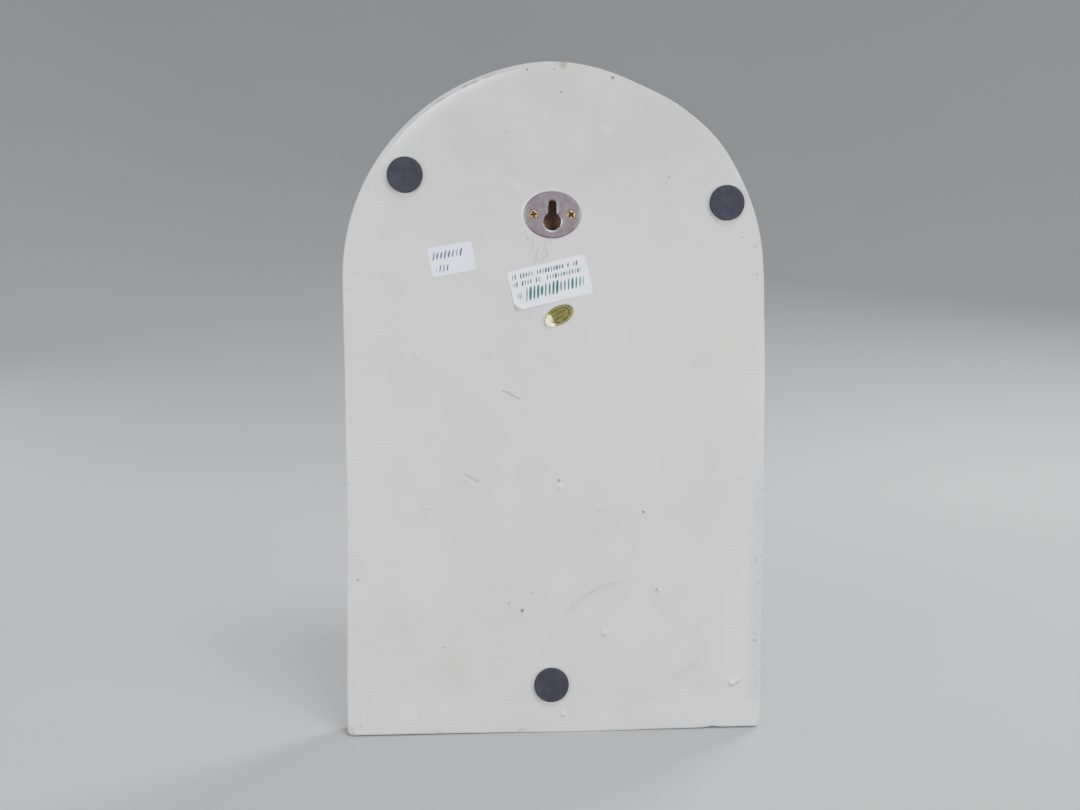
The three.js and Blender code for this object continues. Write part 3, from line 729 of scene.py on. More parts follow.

# %% [markdown]
# ### Closing the casting
# The two sheets share the outline's points in number and order, so rows of triangles can run
# between them and make the edge. Colour that belongs to a place is stored on the points, and the
# paint's shader reads it. One attribute holds the marks: dark marks with painted shade, brown,
# glue, and wear with painted shade. The other holds dust in the front's grooves and a painted
# highlight on the back.

# %% Marks stored on the points


def marks_of_back(x, z):
    """Rows of dark (dark marks and painted shade), brown, glue and worn (wear and painted shade), each from 0
    to 1.
    """
    inset = inset_of(x, z)
    lost, chip_tone = edge_chip(x, z)
    smudge = distance(x, z, TOP_SMUDGE) * (1 + 0.5 * hills(x, z, 2, 51))
    # Painted shadow: a dark line along the lower edge of the plate, where the plate shades the paint.
    shadow_below_plate = ramp((PLATE[0] - x) * 0.4 + PLATE[1] - z, -2, 8)
    dark = [0.4 * shadow_below_plate * ramp(np.abs(beyond_plate(x, z) - 0.05), 0.3, 0.05)]
    brown = [chip_tone * ramp(lost, 0.15, 0.6), 0.9 * rim_flakes(x, z, inset) ** 0.7,
             0.75 * ramp(smudge, TOP_SMUDGE[2], 1.0), ramp(beyond_pocket(x, z), 0.3, 0.0)]
    # Painted shade inside each pinhole, and brown where its row says so.
    for *spot, radius, hole_shade, tone in PINHOLES:
        inside = ramp(distance(x, z, spot), radius * 1.3, radius * 0.6)
        dark.append(inside * hole_shade)
        brown.append(inside * tone)
    # Dark scratches and smudges, and painted shadows on the lower flanks of some nibs.
    for points, half_width, tone in CREASES_AND_NIB_SHADOWS:
        dark.append(tone * ramp(near_line(x, z, points), half_width + 0.25, half_width - 0.15))
    wander = 0.24 + 0.14 * hills(x, z, 2.5, 52)
    glue = highest([ramp(near_line(x, z, line), wander + 0.3, wander - 0.12) for line in GLUE_STROKES])
    glue *= 0.55 + 0.5 * hills(x, z, 3, 53)
    # On the arch's upper left: a bluish worn tone, which on the outer shelf is also painted shade, and a worn
    # line by the flakes.
    arch_wear_and_shelf_shade = on_arch(x, z, 34, 46, 76, 88) * (0.4 * ramp(inset, 3.0, 2.0) + 0.5 * bell(inset - 2.2, 0.5))
    side_wear = (x < 0) * ramp(z, 175, 130) * ramp(z, 8, 24) * ramp(inset, 0.4, 0.9) * ramp(inset, 11.0, 3.0)
    wear_and_shade = np.maximum(arch_wear_and_shelf_shade, side_wear)
    return np.stack([highest(dark), highest(brown), np.clip(glue, 0, 1), np.clip(wear_and_shade, 0, 1)], 1)


def painted_highlight_on_back(x, z):
    """0 to 1 where a painted highlight whitens the paint: on the slope by the shelf, on the upper
    right of each nib and beside the plate at its upper left."""
    inside = inset_of(x, z) - shelf_line(x, z)
    slope = ramp(inside, 0, 0.8) * np.exp(-np.maximum(0, inside - 1.0) / shelf_reach(x, z))
    slope *= 1 + 0.2 * hills(x, z, 1.5, 55)
    beside = bell(beyond_plate(x, z) - 0.7, 0.5) * ramp((x - PLATE[0]) * 0.8 + z - PLATE[1], 2, 14)
    beside *= 0.6 + 0.6 * hills(x, z, 4, 54)
    painted_highlight = [0.9 * slope * on_arch(x, z, 26, 50, 66, 84), 0.8 * beside]
    for nib_x, nib_z, radius, high in NIBS:
        away = distance(x, z, (nib_x - 0.25 * radius, nib_z + 0.3 * radius)) / radius
        painted_highlight.append(min(0.6, 0.7 * high) * np.exp(-(away ** 2) * 2.2))
    return highest(painted_highlight)


def hollows_of_front(x, z):
    """0 to 1 in grooves and corners of the relief, where dust stays after wiping."""
    around = [front_depth(x + dx, z + dz) for dx, dz in oval(1.3, 1.3, 8)]
    return ramp(np.mean(around, axis=0) - front_depth(x, z), 0.05, 1.1)


print("glue on a stroke", round(float(marks_of_back(np.full(1, 12.9), np.full(1, 270.8))[0, 2]), 2))

# %% The casting as one closed mesh
SIDE_ROWS = 8


def on_casting(x, z):
    return inset_of(x, z) > -EDGE_SLACK


def cast_body():
    """Back sheet, front sheet and rows of points between them, with what each point is marked by."""
    edge = outline(0.0)
    ring = list(range(len(edge)))
    back_xz, back_faces, back_went = join_points(back_points, [ring], on_casting)
    front_xz, front_faces, front_went = join_points(front_points, [ring], on_casting)
    back_h, front_h = back_height(*back_xz.T), -front_depth(*front_xz.T)
    back_edge, front_edge = back_went[ring], front_went[ring]
    outward = edge - (ARCH_X, ARCH_Z * 0.75)
    outward /= np.linalg.norm(outward, axis=1)[:, None]
    first_front = len(back_xz)
    first_side = first_front + len(front_xz)
    sheets = [to_frame(back_xz, back_h), to_frame(front_xz, front_h)]
    levels = [back_edge]
    for k in range(1, SIDE_ROWS):
        share = k / SIDE_ROWS
        height = back_h[back_edge] * (1 - share) + front_h[front_edge] * share
        hollow = 0.16 * hills(np.arange(len(edge)) * 1.5, height, 9, 61) * math.sin(math.pi * share)
        sheets.append(to_frame(edge - hollow[:, None] * outward, height))
        levels.append(first_side + (k - 1) * len(edge) + np.array(ring))
    levels.append(first_front + front_edge)
    walls = [wall(upper, lower) for upper, lower in zip(levels[:-1], levels[1:])]
    points = np.concatenate(sheets)
    marks, dust_and_highlight = np.zeros((2, len(points), 4))
    marks[:first_front] = marks_of_back(*back_xz.T)
    dust_and_highlight[:first_front, 1] = painted_highlight_on_back(*back_xz.T)
    dust_and_highlight[first_front:first_side, 0] = hollows_of_front(*front_xz.T)
    faces = np.concatenate([back_faces[:, ::-1], front_faces + first_front, *walls])
    return mesh_piece("casting", points, faces, 38, {"marks": marks, "dust_and_highlight": dust_and_highlight})


casting = cast_body()
finish_piece(casting, "painted_cast_resin", "plaque_body")

# %% [markdown]
# ## Shader groups
# Several finishes share two effects: a slow drift between two tones, and a fine stretched grain.
# Each is a node group, made once and given its own values in every material that uses it.

# %% Node helpers


def feed(node, values):
    """Plain values go on sockets. A node, or one output of it, is linked instead. Tones are given
    as three numbers."""
    for label, value in values.items():
        socket = node.inputs[label]
        if isinstance(value, bpy.types.Node):
            value = value.outputs[0]
        if isinstance(value, bpy.types.NodeSocket):
            node.id_data.links.new(value, socket)
        else:
            socket.default_value = (*value, 1) if socket.type == "RGBA" else value


def add(tree, kind, values, **settings):
    node = tree.nodes.new(kind)
    for key, setting in settings.items():
        setattr(node, key, setting)
    feed(node, values)
    return node


def calc(tree, operation, a, b=0.0):
    return add(tree, "ShaderNodeMath", {0: a, 1: b}, operation=operation)


def times(tree, a, b):
    return calc(tree, "MULTIPLY", a, b)


def strongest(tree, *masks):
    total = masks[0]
    for mask in masks[1:]:
        total = calc(tree, "MAXIMUM", total, mask)
    return total


def band(tree, value, low, high, out_low=0.0, out_high=1.0):
    """Maps low..high to out_low..out_high, clamped."""
    limits = {"From Min": low, "From Max": high, "To Min": out_low, "To Max": out_high}
    return add(tree, "ShaderNodeMapRange", {"Value": value, **limits}, interpolation_type="SMOOTHSTEP")


def blend(tree, factor, a, b, mode="MIX"):
    """Colour a turning to colour b by factor."""
    values = {0: factor, 6: a, 7: b}
    return add(tree, "ShaderNodeMix", values, data_type="RGBA", blend_type=mode).outputs[2]


def stain(tree, colour, mask, strength, tone):
    """The colour stained with a tone where the mask is, up to a strength."""
    return blend(tree, times(tree, mask, strength), colour, tone)


def noise(tree, place, scale, detail, roughness=0.5):
    values = {"Vector": place, "Scale": scale, "Detail": detail, "Roughness": roughness}
    return add(tree, "ShaderNodeTexNoise", values)


def bump(tree, height, distance, strength):
    return add(tree, "ShaderNodeBump", {"Height": height, "Distance": distance, "Strength": strength})


def split(tree, vector):
    """The x, y and z of a vector."""
    return add(tree, "ShaderNodeSeparateXYZ", {"Vector": vector}).outputs


def stored(tree, label):
    """The four values stored on the points under a label."""
    attribute = add(tree, "ShaderNodeAttribute", {}, attribute_name=label)
    three = add(tree, "ShaderNodeSeparateColor", {"Color": attribute})
    return (*three.outputs, attribute.outputs["Alpha"])


def new_group(name, inputs, output, kind):
    """A shader group with named inputs and one output. Returns it, its given values and its result."""
    group = bpy.data.node_groups.new(name, "ShaderNodeTree")
    for label, input_kind in inputs.items():
        group.interface.new_socket(label, in_out="INPUT", socket_type="NodeSocket" + input_kind)
    group.interface.new_socket(output, in_out="OUTPUT", socket_type="NodeSocket" + kind)
    return group, group.nodes.new("NodeGroupInput").outputs, group.nodes.new("NodeGroupOutput")


def new_material(name, **fixed):
    """A material, its tree, its shader with those fixed values, and object coordinates."""
    material = bpy.data.materials.new(name)
    material.use_nodes = True
    tree = material.node_tree
    shader = tree.nodes["Principled BSDF"]
    feed(shader, {label.replace("_", " "): value for label, value in fixed.items()})
    return material, tree, shader, tree.nodes.new("ShaderNodeTexCoord").outputs["Object"]


print("node helpers", [helper.__name__ for helper in (add, calc, band, blend, stain, noise, bump)])

# %% Drift and grain groups


def drift_group():
    """Slow change between two tones, with a little finer mottling."""
    inputs = {"Vector": "Vector", "Size": "Float", "First": "Color", "Second": "Color"}
    group, given, result = new_group("tone drift", inputs, "Color", "Color")
    mask = band(group, noise(group, given["Vector"], given["Size"], 5.0, 0.6), 0.32, 0.68)
    feed(result, {"Color": blend(group, mask, given["First"], given["Second"])})
    return group


def grain_group():
    """Fine grain stretched along one direction, as height."""
    inputs = {"Vector": "Vector", "Stretch": "Vector", "Size": "Float"}
    group, given, result = new_group("stretched grain", inputs, "Height", "Float")
    stretched = add(group, "ShaderNodeMapping", {"Vector": given["Vector"], "Scale": given["Stretch"]})
    feed(result, {"Height": noise(group, stretched, given["Size"], 4.0, 0.62)})
    return group


DRIFT, GRAIN = drift_group(), grain_group()


def drift(tree, place, size, first, second):
    values = {"Vector": place, "Size": size, "First": first, "Second": second}
    return add(tree, "ShaderNodeGroup", values, node_tree=DRIFT).outputs[0]


def grain(tree, place, stretch, size):
    values = {"Vector": place, "Stretch": stretch, "Size": size}
    return add(tree, "ShaderNodeGroup", values, node_tree=GRAIN)


print("shader groups", DRIFT.name, GRAIN.name)

# %% [markdown]
# ## Brushed paint
# The paint is a flat off-white emulsion laid on with a coarse brush. Near the edges the strokes
# run straight across. Three things show it: ridges in the bump, painted shade in the furrows, and
# a slow drift between cool and warm white. Painted shade also darkens it towards the top. Dirt,
# wear and painted shade come from the marks on the points, and dust and a painted highlight from
# the second attribute.

# %% Paint of the casting
COOL_WHITE, WARM_WHITE = (0.520, 0.520, 0.512), (0.592, 0.592, 0.598)
# The white on this line is a painted highlight, and the bluish tone beside it also paints shade on the arch's
# shelf.
HIGHLIGHT_WHITE, WEAR_AND_SHADE_TONE, BARE_TONE = (0.80, 0.80, 0.83), (0.35, 0.36, 0.43), (0.17, 0.155, 0.15)
GLUE_TONE, DUST_TONE = (0.22, 0.15, 0.06), (0.25, 0.225, 0.185)
# The black paints shade in pinholes, under nibs and below the plate, and it also darkens the scratches.
CAST_BROWN, MARK_AND_SHADE_BLACK = (0.17, 0.086, 0.049), (0.02, 0.018, 0.02)


def brush_strokes(tree, place, x, z):
    """Level strokes along the sides and the bottom, fainter ones elsewhere."""
    by_side = band(tree, calc(tree, "ABSOLUTE", calc(tree, "SUBTRACT", x, AXIS_X)), 0.070, 0.108)
    low_down = band(tree, z, BOTTOM_Z + 0.045, BOTTOM_Z + 0.008)
    patch = band(tree, noise(tree, place, 9.0, 2.0), 0.45, 0.6)
    level_share = strongest(tree, by_side, low_down, times(tree, patch, 0.25))
    level = times(tree, grain(tree, place, (0.045, 0.3, 1.0), 900.0), level_share)
    upright_share = times(tree, band(tree, noise(tree, place, 7.0, 1.0), 0.5, 0.66), 0.22)
    upright = times(tree, grain(tree, place, (1.0, 0.3, 0.05), 800.0), upright_share)
    return calc(tree, "ADD", level, upright)


def clean_paint(tree, place, z, strokes):
    """Drifting white, a little mottled, with painted shade in the furrows and towards the top."""
    broad = drift(tree, place, 13.0, COOL_WHITE, WARM_WHITE)
    mottled = drift(tree, place, 70.0, (1.0, 0.972, 0.982), (0.975, 0.992, 0.966))
    colour = blend(tree, 1.0, broad, mottled, "MULTIPLY")
    # Painted shade: darker in the brush furrows, and darker towards the top.
    furrow_and_top_shade = band(tree, strokes, 0.30, 0.62, 0.945, 1.015)
    furrow_and_top_shade = times(tree, furrow_and_top_shade, band(tree, z, -0.10, 0.08, 1.0, 0.84))
    tone = add(tree, "ShaderNodeCombineColor", {"Red": furrow_and_top_shade, "Green": furrow_and_top_shade, "Blue": furrow_and_top_shade})
    return blend(tree, 1.0, colour, tone.outputs[0], "MULTIPLY")


def brushed_paint():
    material, tree, shader, place = new_material("brushed off-white paint", Specular_IOR_Level=0.35)
    x, _, z = split(tree, place)
    strokes = brush_strokes(tree, place, x, z)
    relief = calc(tree, "ADD", strokes, times(tree, grain(tree, place, (0.4, 0.3, 0.55), 260.0), 0.35))
    dark, brown, glue, wear_and_shade = stored(tree, "marks")
    dust, painted_highlight = stored(tree, "dust_and_highlight")[:2]
    flakes = noise(tree, place, 520.0, 3.0, 0.6)
    chipped = band(tree, calc(tree, "ADD", flakes, times(tree, wear_and_shade, 0.09)), 0.70, 0.77)
    chipped = times(tree, chipped, band(tree, wear_and_shade, 0.05, 0.25))
    bare = times(tree, brown, band(tree, flakes, 0.38, 0.55, 0.55, 1.0))
    bare = strongest(tree, bare, band(tree, brown, 0.92, 0.98))
    dusty = times(tree, dust, band(tree, flakes, 0.25, 0.6, 0.3, 0.6))
    # Painted highlight: whiter paint on the lit slope by the shelf, on the nibs and beside the plate.
    colour = blend(tree, painted_highlight, clean_paint(tree, place, z, strokes), HIGHLIGHT_WHITE)
    # Bluish wear tone, which on the arch's outer shelf is also painted shade.
    colour = stain(tree, colour, wear_and_shade, 0.48, WEAR_AND_SHADE_TONE)
    colour = stain(tree, colour, chipped, 0.8, BARE_TONE)
    colour = stain(tree, colour, glue, 0.95, GLUE_TONE)
    colour = blend(tree, dusty, colour, DUST_TONE)
    colour = stain(tree, colour, bare, 0.95, CAST_BROWN)
    # Dark scratches, and painted shade in pinholes, under nibs and below the plate.
    colour = blend(tree, dark, colour, MARK_AND_SHADE_BLACK)
    chip_bump = bump(tree, chipped, 0.0003, 0.5)
    chip_bump.invert = True
    feed(chip_bump, {"Normal": bump(tree, relief, 0.0006, 0.62)})
    rough = band(tree, relief, 0.2, 0.9, 0.50, 0.66)
    feed(shader, {"Base Color": colour, "Roughness": rough, "Normal": chip_bump})
    return material


PAINT = brushed_paint()
casting.data.materials.append(PAINT)
print("paint nodes", len(PAINT.node_tree.nodes))

# %% [markdown]
# ## The hanger plate
# A stamped steel oval with a keyhole. Stamping rounds the top edges and tumbling dulls the face,
# while the keyhole's bevel stays smoother, with a painted highlight on its lower side. It is made
# as the casting was, from heights over a flat set of points, because one height function can hold
# bevels and countersinks together.

# %% Keyhole plate
KEY_RADIUS, KEY_DROP, SLOT_HALF, SLOT_TOP = 5.0, 3.9, 2.35, 8.0
SLOT_ARC = SLOT_TOP - SLOT_HALF
SCREW_OFFSET, SCREW_SINK, SCREW_BORE = 10.5, 2.9, 1.7
SCREW_SPOTS = ((-SCREW_OFFSET, 0), (SCREW_OFFSET, 0))
PLATE_W, PLATE_H, PLATE_MEAN = PLATE_SIZE.x / 2, PLATE_SIZE.z / 2, 14.5
PLATE_FACE = top_of("keyhole_plate")


def beyond_keyhole(x, z):
    """Distance outside the keyhole, negative inside it. x and z are from the plate's centre."""
    hole = distance(x, z, (0, -KEY_DROP)) - KEY_RADIUS
    slot = np.hypot(x, z - np.clip(z, -KEY_DROP, SLOT_ARC)) - SLOT_HALF
    return np.minimum(hole, slot)


def keyhole_loop(grow):
    """The keyhole's outline made that much wider all round."""
    key, slot = KEY_RADIUS + grow, SLOT_HALF + grow
    shoulder = math.acos(slot / key)
    below = np.linspace(math.pi - shoulder, 2 * math.pi + shoulder, 64)
    over = np.linspace(0, math.pi, 24)
    hole = pairs(key * np.cos(below), key * np.sin(below) - KEY_DROP)
    arc = pairs(slot * np.cos(over), slot * np.sin(over) + SLOT_ARC)
    right = pairs(slot, np.linspace(hole[-1, 1], SLOT_ARC, 9)[1:-1])
    return np.concatenate([hole, right, arc, right[::-1] * (-1, 1)])


def plate_height(x, z):
    """Height of the plate's face over the casting's back, from the plate's centre."""
    rim = (1 - np.hypot(x / PLATE_W, z / PLATE_H)) * PLATE_MEAN
    height = PLATE_FACE - 0.55 * ramp(rim, 0.9, 0.0) ** 1.6
    height -= 0.62 * np.clip(1 - beyond_keyhole(x, z) / 0.9, 0, 1)
    for spot in SCREW_SPOTS:
        height -= np.clip((SCREW_SINK - distance(x, z, spot)) * 1.15, 0, 1.1)
    return height + 0.012 * hills(x * 10, z * 10, 9, 71)


def on_plate(x, z):
    bored = np.hypot(np.abs(x) - SCREW_OFFSET, z) < SCREW_BORE - 0.01
    return (np.hypot(x / PLATE_W, z / PLATE_H) < 1.0) & (beyond_keyhole(x, z) > -EDGE_SLACK) & ~bored


def keyhole_plate():
    edges = [oval(PLATE_W, PLATE_H, 160), keyhole_loop(0.0)]
    edges += [oval(SCREW_BORE, SCREW_BORE, 36, spot) for spot in SCREW_SPOTS]
    ends = np.cumsum([len(edge) for edge in edges])
    loops = [list(range(end - len(edge), end)) for edge, end in zip(edges, ends)]
    grid = triangular_grid((-16, -13), (16, 13), 0.7)
    gx, gz = grid.T
    free = (np.hypot(gx / 15, gz / 12) < 1) & (beyond_keyhole(gx, gz) > 1.3)
    free &= np.hypot(np.abs(gx) - SCREW_OFFSET, gz) > 3.6
    laid = edges + [oval(PLATE_W - g, PLATE_H - g, 160) for g in (0.15, 0.35, 0.6, 0.95)]
    laid += [keyhole_loop(g) for g in (0.2, 0.45, 0.6, 0.75, 0.88, 0.94, 1.1)]
    laid += [oval(r, r, 36, spot) for spot in SCREW_SPOTS for r in (2.1, 2.5, 2.88, 2.95, 3.4)]
    flat, faces, went = join_points(np.concatenate([*laid, grid[free]]), loops, on_plate)
    count = len(flat)
    points = [to_frame(flat + PLATE, height) for height in (plate_height(*flat.T), PLATE_FACE - PLATE_SIZE.y)]
    outer, *holes = (went[loop] for loop in loops)
    walls = [wall(ring, ring + count)[:, ::-1] for ring in (outer, *(hole[::-1] for hole in holes))]
    faces = np.concatenate([faces[:, ::-1], faces + count, *walls])
    # Painted highlight on the lower side of the keyhole's bevel.
    bevel_highlight = np.zeros((2 * count, 4))
    bevel_highlight[:count, 0] = ramp(beyond_keyhole(*flat.T), 0.85, 0.6)
    bevel_highlight[:count, 0] *= ramp(flat[:, 1] + 0.3 * flat[:, 0], 1.0 - KEY_DROP, -2.0 - KEY_DROP)
    return mesh_piece("hanger_plate", np.concatenate(points), faces, 32, {"bevel_highlight": bevel_highlight})


plate = keyhole_plate()
finish_piece(plate, "plate_steel", "keyhole_plate")

# %% Tumbled steel


def tumbled_steel():
    material, tree, shader, place = new_material("tumbled steel", Metallic=0.8)
    tone = drift(tree, place, 240.0, (0.165, 0.135, 0.150), (0.225, 0.19, 0.21))
    dents = add(tree, "ShaderNodeTexVoronoi", {"Vector": place, "Scale": 900.0}, feature="SMOOTH_F1")
    marks = grain(tree, place, (1.0, 1.0, 0.6), 1500.0)
    bevel_highlight = stored(tree, "bevel_highlight")[0]
    # Painted highlight: paler steel on the lower side of the keyhole's bevel.
    colour = blend(tree, bevel_highlight, tone, (0.62, 0.60, 0.62))
    rough = times(tree, band(tree, marks, 0.3, 0.7, 0.34, 0.52), band(tree, bevel_highlight, 0.0, 1.0, 1.0, 0.6))
    relief = bump(tree, calc(tree, "ADD", dents.outputs["Distance"], marks), 0.00006, 0.5)
    feed(shader, {"Base Color": colour, "Roughness": rough, "Normal": relief})
    return material


STEEL = tumbled_steel()
plate.data.materials.append(STEEL)
print("steel nodes", len(STEEL.node_tree.nodes))

# %% [markdown]
# ## Screws
# Two small brass wood screws hold the plate. One is modelled: a domed head with a tapered cross
# recess over a cone and shank. Geometry Nodes then puts a copy on each side of the keyhole, each
# turned its own way, as a hand leaves them.

# %% One screw
HEAD_RADIUS, HEAD_TALL, SHANK, SCREW_LONG = 2.5, 1.5, 1.2, 12.0
DOME, EASED, CROSS_DEEP = 0.22, 0.25, 1.0
FIRST_TURN, NEXT_TURN = math.radians(40), math.radians(-32)
SCREW_TOP = top_of("plate_screw_left")


def screw_cross(x, z):
    """1 in the cross recess, 0 on the head's face."""
    arm = np.minimum(np.abs(x), np.abs(z))
    reach = np.maximum(np.abs(x), np.abs(z))
    return np.maximum(ramp(arm, 0.56, 0.30) * ramp(reach, 1.95, 1.5), ramp(np.hypot(x, z), 0.95, 0.5))


def screw_height(x, z):
    """Height of the head's face: a low dome, an eased edge and the cross recess."""
    radius = np.hypot(x, z)
    face = 0.1 - DOME * (radius / HEAD_RADIUS) ** 2 - EASED * ramp(radius, 2.15, HEAD_RADIUS)
    return face - CROSS_DEEP * screw_cross(x, z)


def single_screw():
    count = 48
    outer = oval(HEAD_RADIUS, HEAD_RADIUS, count)
    fine = triangular_grid((-2.2, -2.2), (2.2, 2.2), 0.13)
    laid = np.concatenate([outer, fine[np.hypot(*fine.T) < 2.1], rings((0, 0), (2.2, 2.4), 44)])
    flat, faces, went = join_points(laid, [list(range(count))], lambda x, z: np.hypot(x, z) < HEAD_RADIUS)
    points = [np.insert(flat, 1, screw_height(*flat.T), axis=1)]
    level, total = went[:count], len(flat)
    found = [faces[:, ::-1]]
    section = ((HEAD_RADIUS, -0.55), (SHANK, -HEAD_TALL), (SHANK, -SCREW_LONG + 3), (0.15, -SCREW_LONG))
    for radius, height in section:
        points.append(np.insert(oval(radius, radius, count), 1, height, axis=1))
        below = total + np.arange(count)
        found.append(wall(level, below))
        level, total = below, total + count
    points.append([[0, -SCREW_LONG - 0.1, 0]])
    found.append(np.stack([level, np.roll(level, -1), np.full(count, total)], 1))
    grime = np.zeros((total + 1, 4))
    grime[:len(flat), 0] = screw_cross(*flat.T)
    points, faces = np.concatenate(points) * MM, np.concatenate(found)
    return mesh_piece("screw_pattern", points, faces, 40, {"grime": grime})


screw = single_screw()
print("one screw", len(screw.data.polygons), "faces")

# %% Worn brass


def worn_brass():
    material, tree, shader, place = new_material("worn brass", Metallic=0.9)
    tone = drift(tree, place, 700.0, (0.56, 0.37, 0.21), (0.36, 0.22, 0.12))
    colour = stain(tree, tone, stored(tree, "grime")[0], 0.88, (0.05, 0.025, 0.015))
    marks = grain(tree, place, (1.0, 1.0, 0.3), 1600.0)
    rough = band(tree, marks, 0.3, 0.7, 0.28, 0.46)
    feed(shader, {"Base Color": colour, "Roughness": rough, "Normal": bump(tree, marks, 0.00004, 0.4)})
    return material


BRASS = worn_brass()
print("brass nodes", len(BRASS.node_tree.nodes))

# %% Copies by Geometry Nodes
SOCKET_KINDS = {float: "Float", int: "Int", tuple: "Vector", bpy.types.Material: "Material"}


def geometry_tree(name, sizes):
    """A Geometry Nodes tree with a named input for each size. Returns it and what it is given."""
    tree = bpy.data.node_groups.new(name, "GeometryNodeTree")
    kinds = {"Geometry": "Geometry", **{label: SOCKET_KINDS[type(size)] for label, size in sizes.items()}}
    for label, kind in kinds.items():
        tree.interface.new_socket(label, in_out="INPUT", socket_type="NodeSocket" + kind)
    tree.interface.new_socket("Geometry", in_out="OUTPUT", socket_type="NodeSocketGeometry")
    return tree, tree.nodes.new("NodeGroupInput").outputs


def end_tree(tree, given, *shapes):
    """Joins the shapes, dresses them in the given material and puts them out."""
    joined = add(tree, "GeometryNodeJoinGeometry", {})
    for shape in shapes:
        tree.links.new(shape, joined.inputs[0])
    painted = add(tree, "GeometryNodeSetMaterial", {"Geometry": joined, "Material": given["Material"]})
    feed(tree.nodes.new("NodeGroupOutput"), {"Geometry": painted})


def run_tree(name, base, tree, sizes):
    """Runs the tree on base and returns the result as a plain mesh object with that name."""
    modifier = base.modifiers.new(tree.name, "NODES")
    modifier.node_group = tree
    for item in tree.interface.items_tree:
        if item.in_out == "INPUT" and item.name in sizes:
            modifier[item.identifier] = sizes[item.name]
    evaluated = base.evaluated_get(bpy.context.evaluated_depsgraph_get())
    mesh = bpy.data.meshes.new_from_object(evaluated)
    base.modifiers.remove(modifier)
    bpy.data.objects.remove(base)
    mesh.name = name
    return link_object(name, mesh)


def screws_by_nodes():
    start = to_frame((PLATE[0] - SCREW_OFFSET, PLATE[1]), SCREW_TOP)
    sizes = {
        "Start": tuple(start.tolist()), "Spacing": (2 * SCREW_OFFSET * MM, 0.0, 0.0),
        "First turn": FIRST_TURN, "Turn": NEXT_TURN, "Material": BRASS,
    }
    tree, given = geometry_tree("screws in a row", sizes)
    line = add(tree, "GeometryNodeMeshLine", {
        "Count": 2, "Start Location": given["Start"], "Offset": given["Spacing"]}, mode="OFFSET")
    angle = times(tree, add(tree, "GeometryNodeInputIndex", {}), given["Turn"])
    turn = add(tree, "ShaderNodeCombineXYZ", {"Y": calc(tree, "ADD", angle, given["First turn"])})
    copies = add(tree, "GeometryNodeInstanceOnPoints", {
        "Points": line, "Instance": given["Geometry"], "Rotation": turn})
    real = add(tree, "GeometryNodeRealizeInstances", {"Geometry": copies})
    end_tree(tree, given, real.outputs[0])
    return run_tree("plate_screws", screw, tree, sizes)


screws = screws_by_nodes()
finish_piece(screws, "screw_brass", "plate_screw_left", "plate_screw_right")

# %% [markdown]
# ## Felt pads
# Each pad is a die-cut disc of pressed felt on a sticky back. The cut leaves a slightly soft edge
# and the face is not quite flat. Geometry Nodes scatters fibres over it. The discs' faces point
# inwards and turn the fibres in with them, so most of the fibres lie inside the felt.

# %% Pads
PAD_THICK, PAD_STEPS, SECTION_THICK = top_of("felt_pad_left"), 96, 2.5
PAD_SECTION = (  # radius, height on a pad that is SECTION_THICK thick
    (0.02, 0), (6, 0), (9.7, 0), (9.92, 0.15), (10, 0.6), (10, 1.2), (9.98, 1.8), (9.85, 2.15),
    (9.6, 2.36), (9.2, 2.45), (8.4, 2.48), (7.2, 2.5), (5.6, 2.49), (3.8, 2.46), (2, 2.45), (0.02, 2.45),
)


def pad_mesh():
    """All three pads as closed discs, each from the section turned round its centre."""
    points, faces = [], []
    for number, spot in enumerate(PADS.values()):
        levels = number * len(PAD_SECTION) + np.arange(len(PAD_SECTION))
        bands = levels[:, None] * PAD_STEPS + np.arange(PAD_STEPS)
        for radius, height in PAD_SECTION:
            ring = oval(radius, radius, PAD_STEPS)
            cut = hills(round_steps(PAD_STEPS) * 12, np.full(PAD_STEPS, radius), 1, 80 + number)
            ragged = 1 + 0.004 * cut * (radius > 9)
            lift = (0.05 * hills(*ring.T, 2.2, 90 + number) - 0.03) * (height > 2)
            level = height * PAD_THICK / SECTION_THICK + lift
            points.append(to_frame(spot + ring * ragged[:, None], level))
        for lower, upper in zip(bands[:-1], bands[1:]):
            faces += quads(lower, upper)
        faces += [bands[0][::-1].tolist(), bands[-1].tolist()]
    return mesh_piece("pad_discs", np.concatenate(points), faces, 60)


def charcoal_felt():
    material, tree, shader, place = new_material(
        "charcoal felt", Roughness=0.95, Sheen_Weight=0.12, Sheen_Roughness=0.5, Specular_IOR_Level=0.15)
    tone = drift(tree, place, 210.0, (0.023, 0.024, 0.033), (0.031, 0.032, 0.043))
    fibres = grain(tree, place, (1.0, 1.0, 0.55), 1500.0)
    colour = stain(tree, tone, band(tree, fibres, 0.55, 0.72), 0.4, (0.075, 0.078, 0.092))
    feed(shader, {"Base Color": colour, "Normal": bump(tree, fibres, 0.00035, 0.8)})
    return material


FELT = charcoal_felt()
print("pads", PAD_THICK, "mm thick, felt nodes", len(FELT.node_tree.nodes))

# %% Loose fibres by Geometry Nodes
FIBRE_TIP, FIBRE_LEAN = 0.000005, 1.3


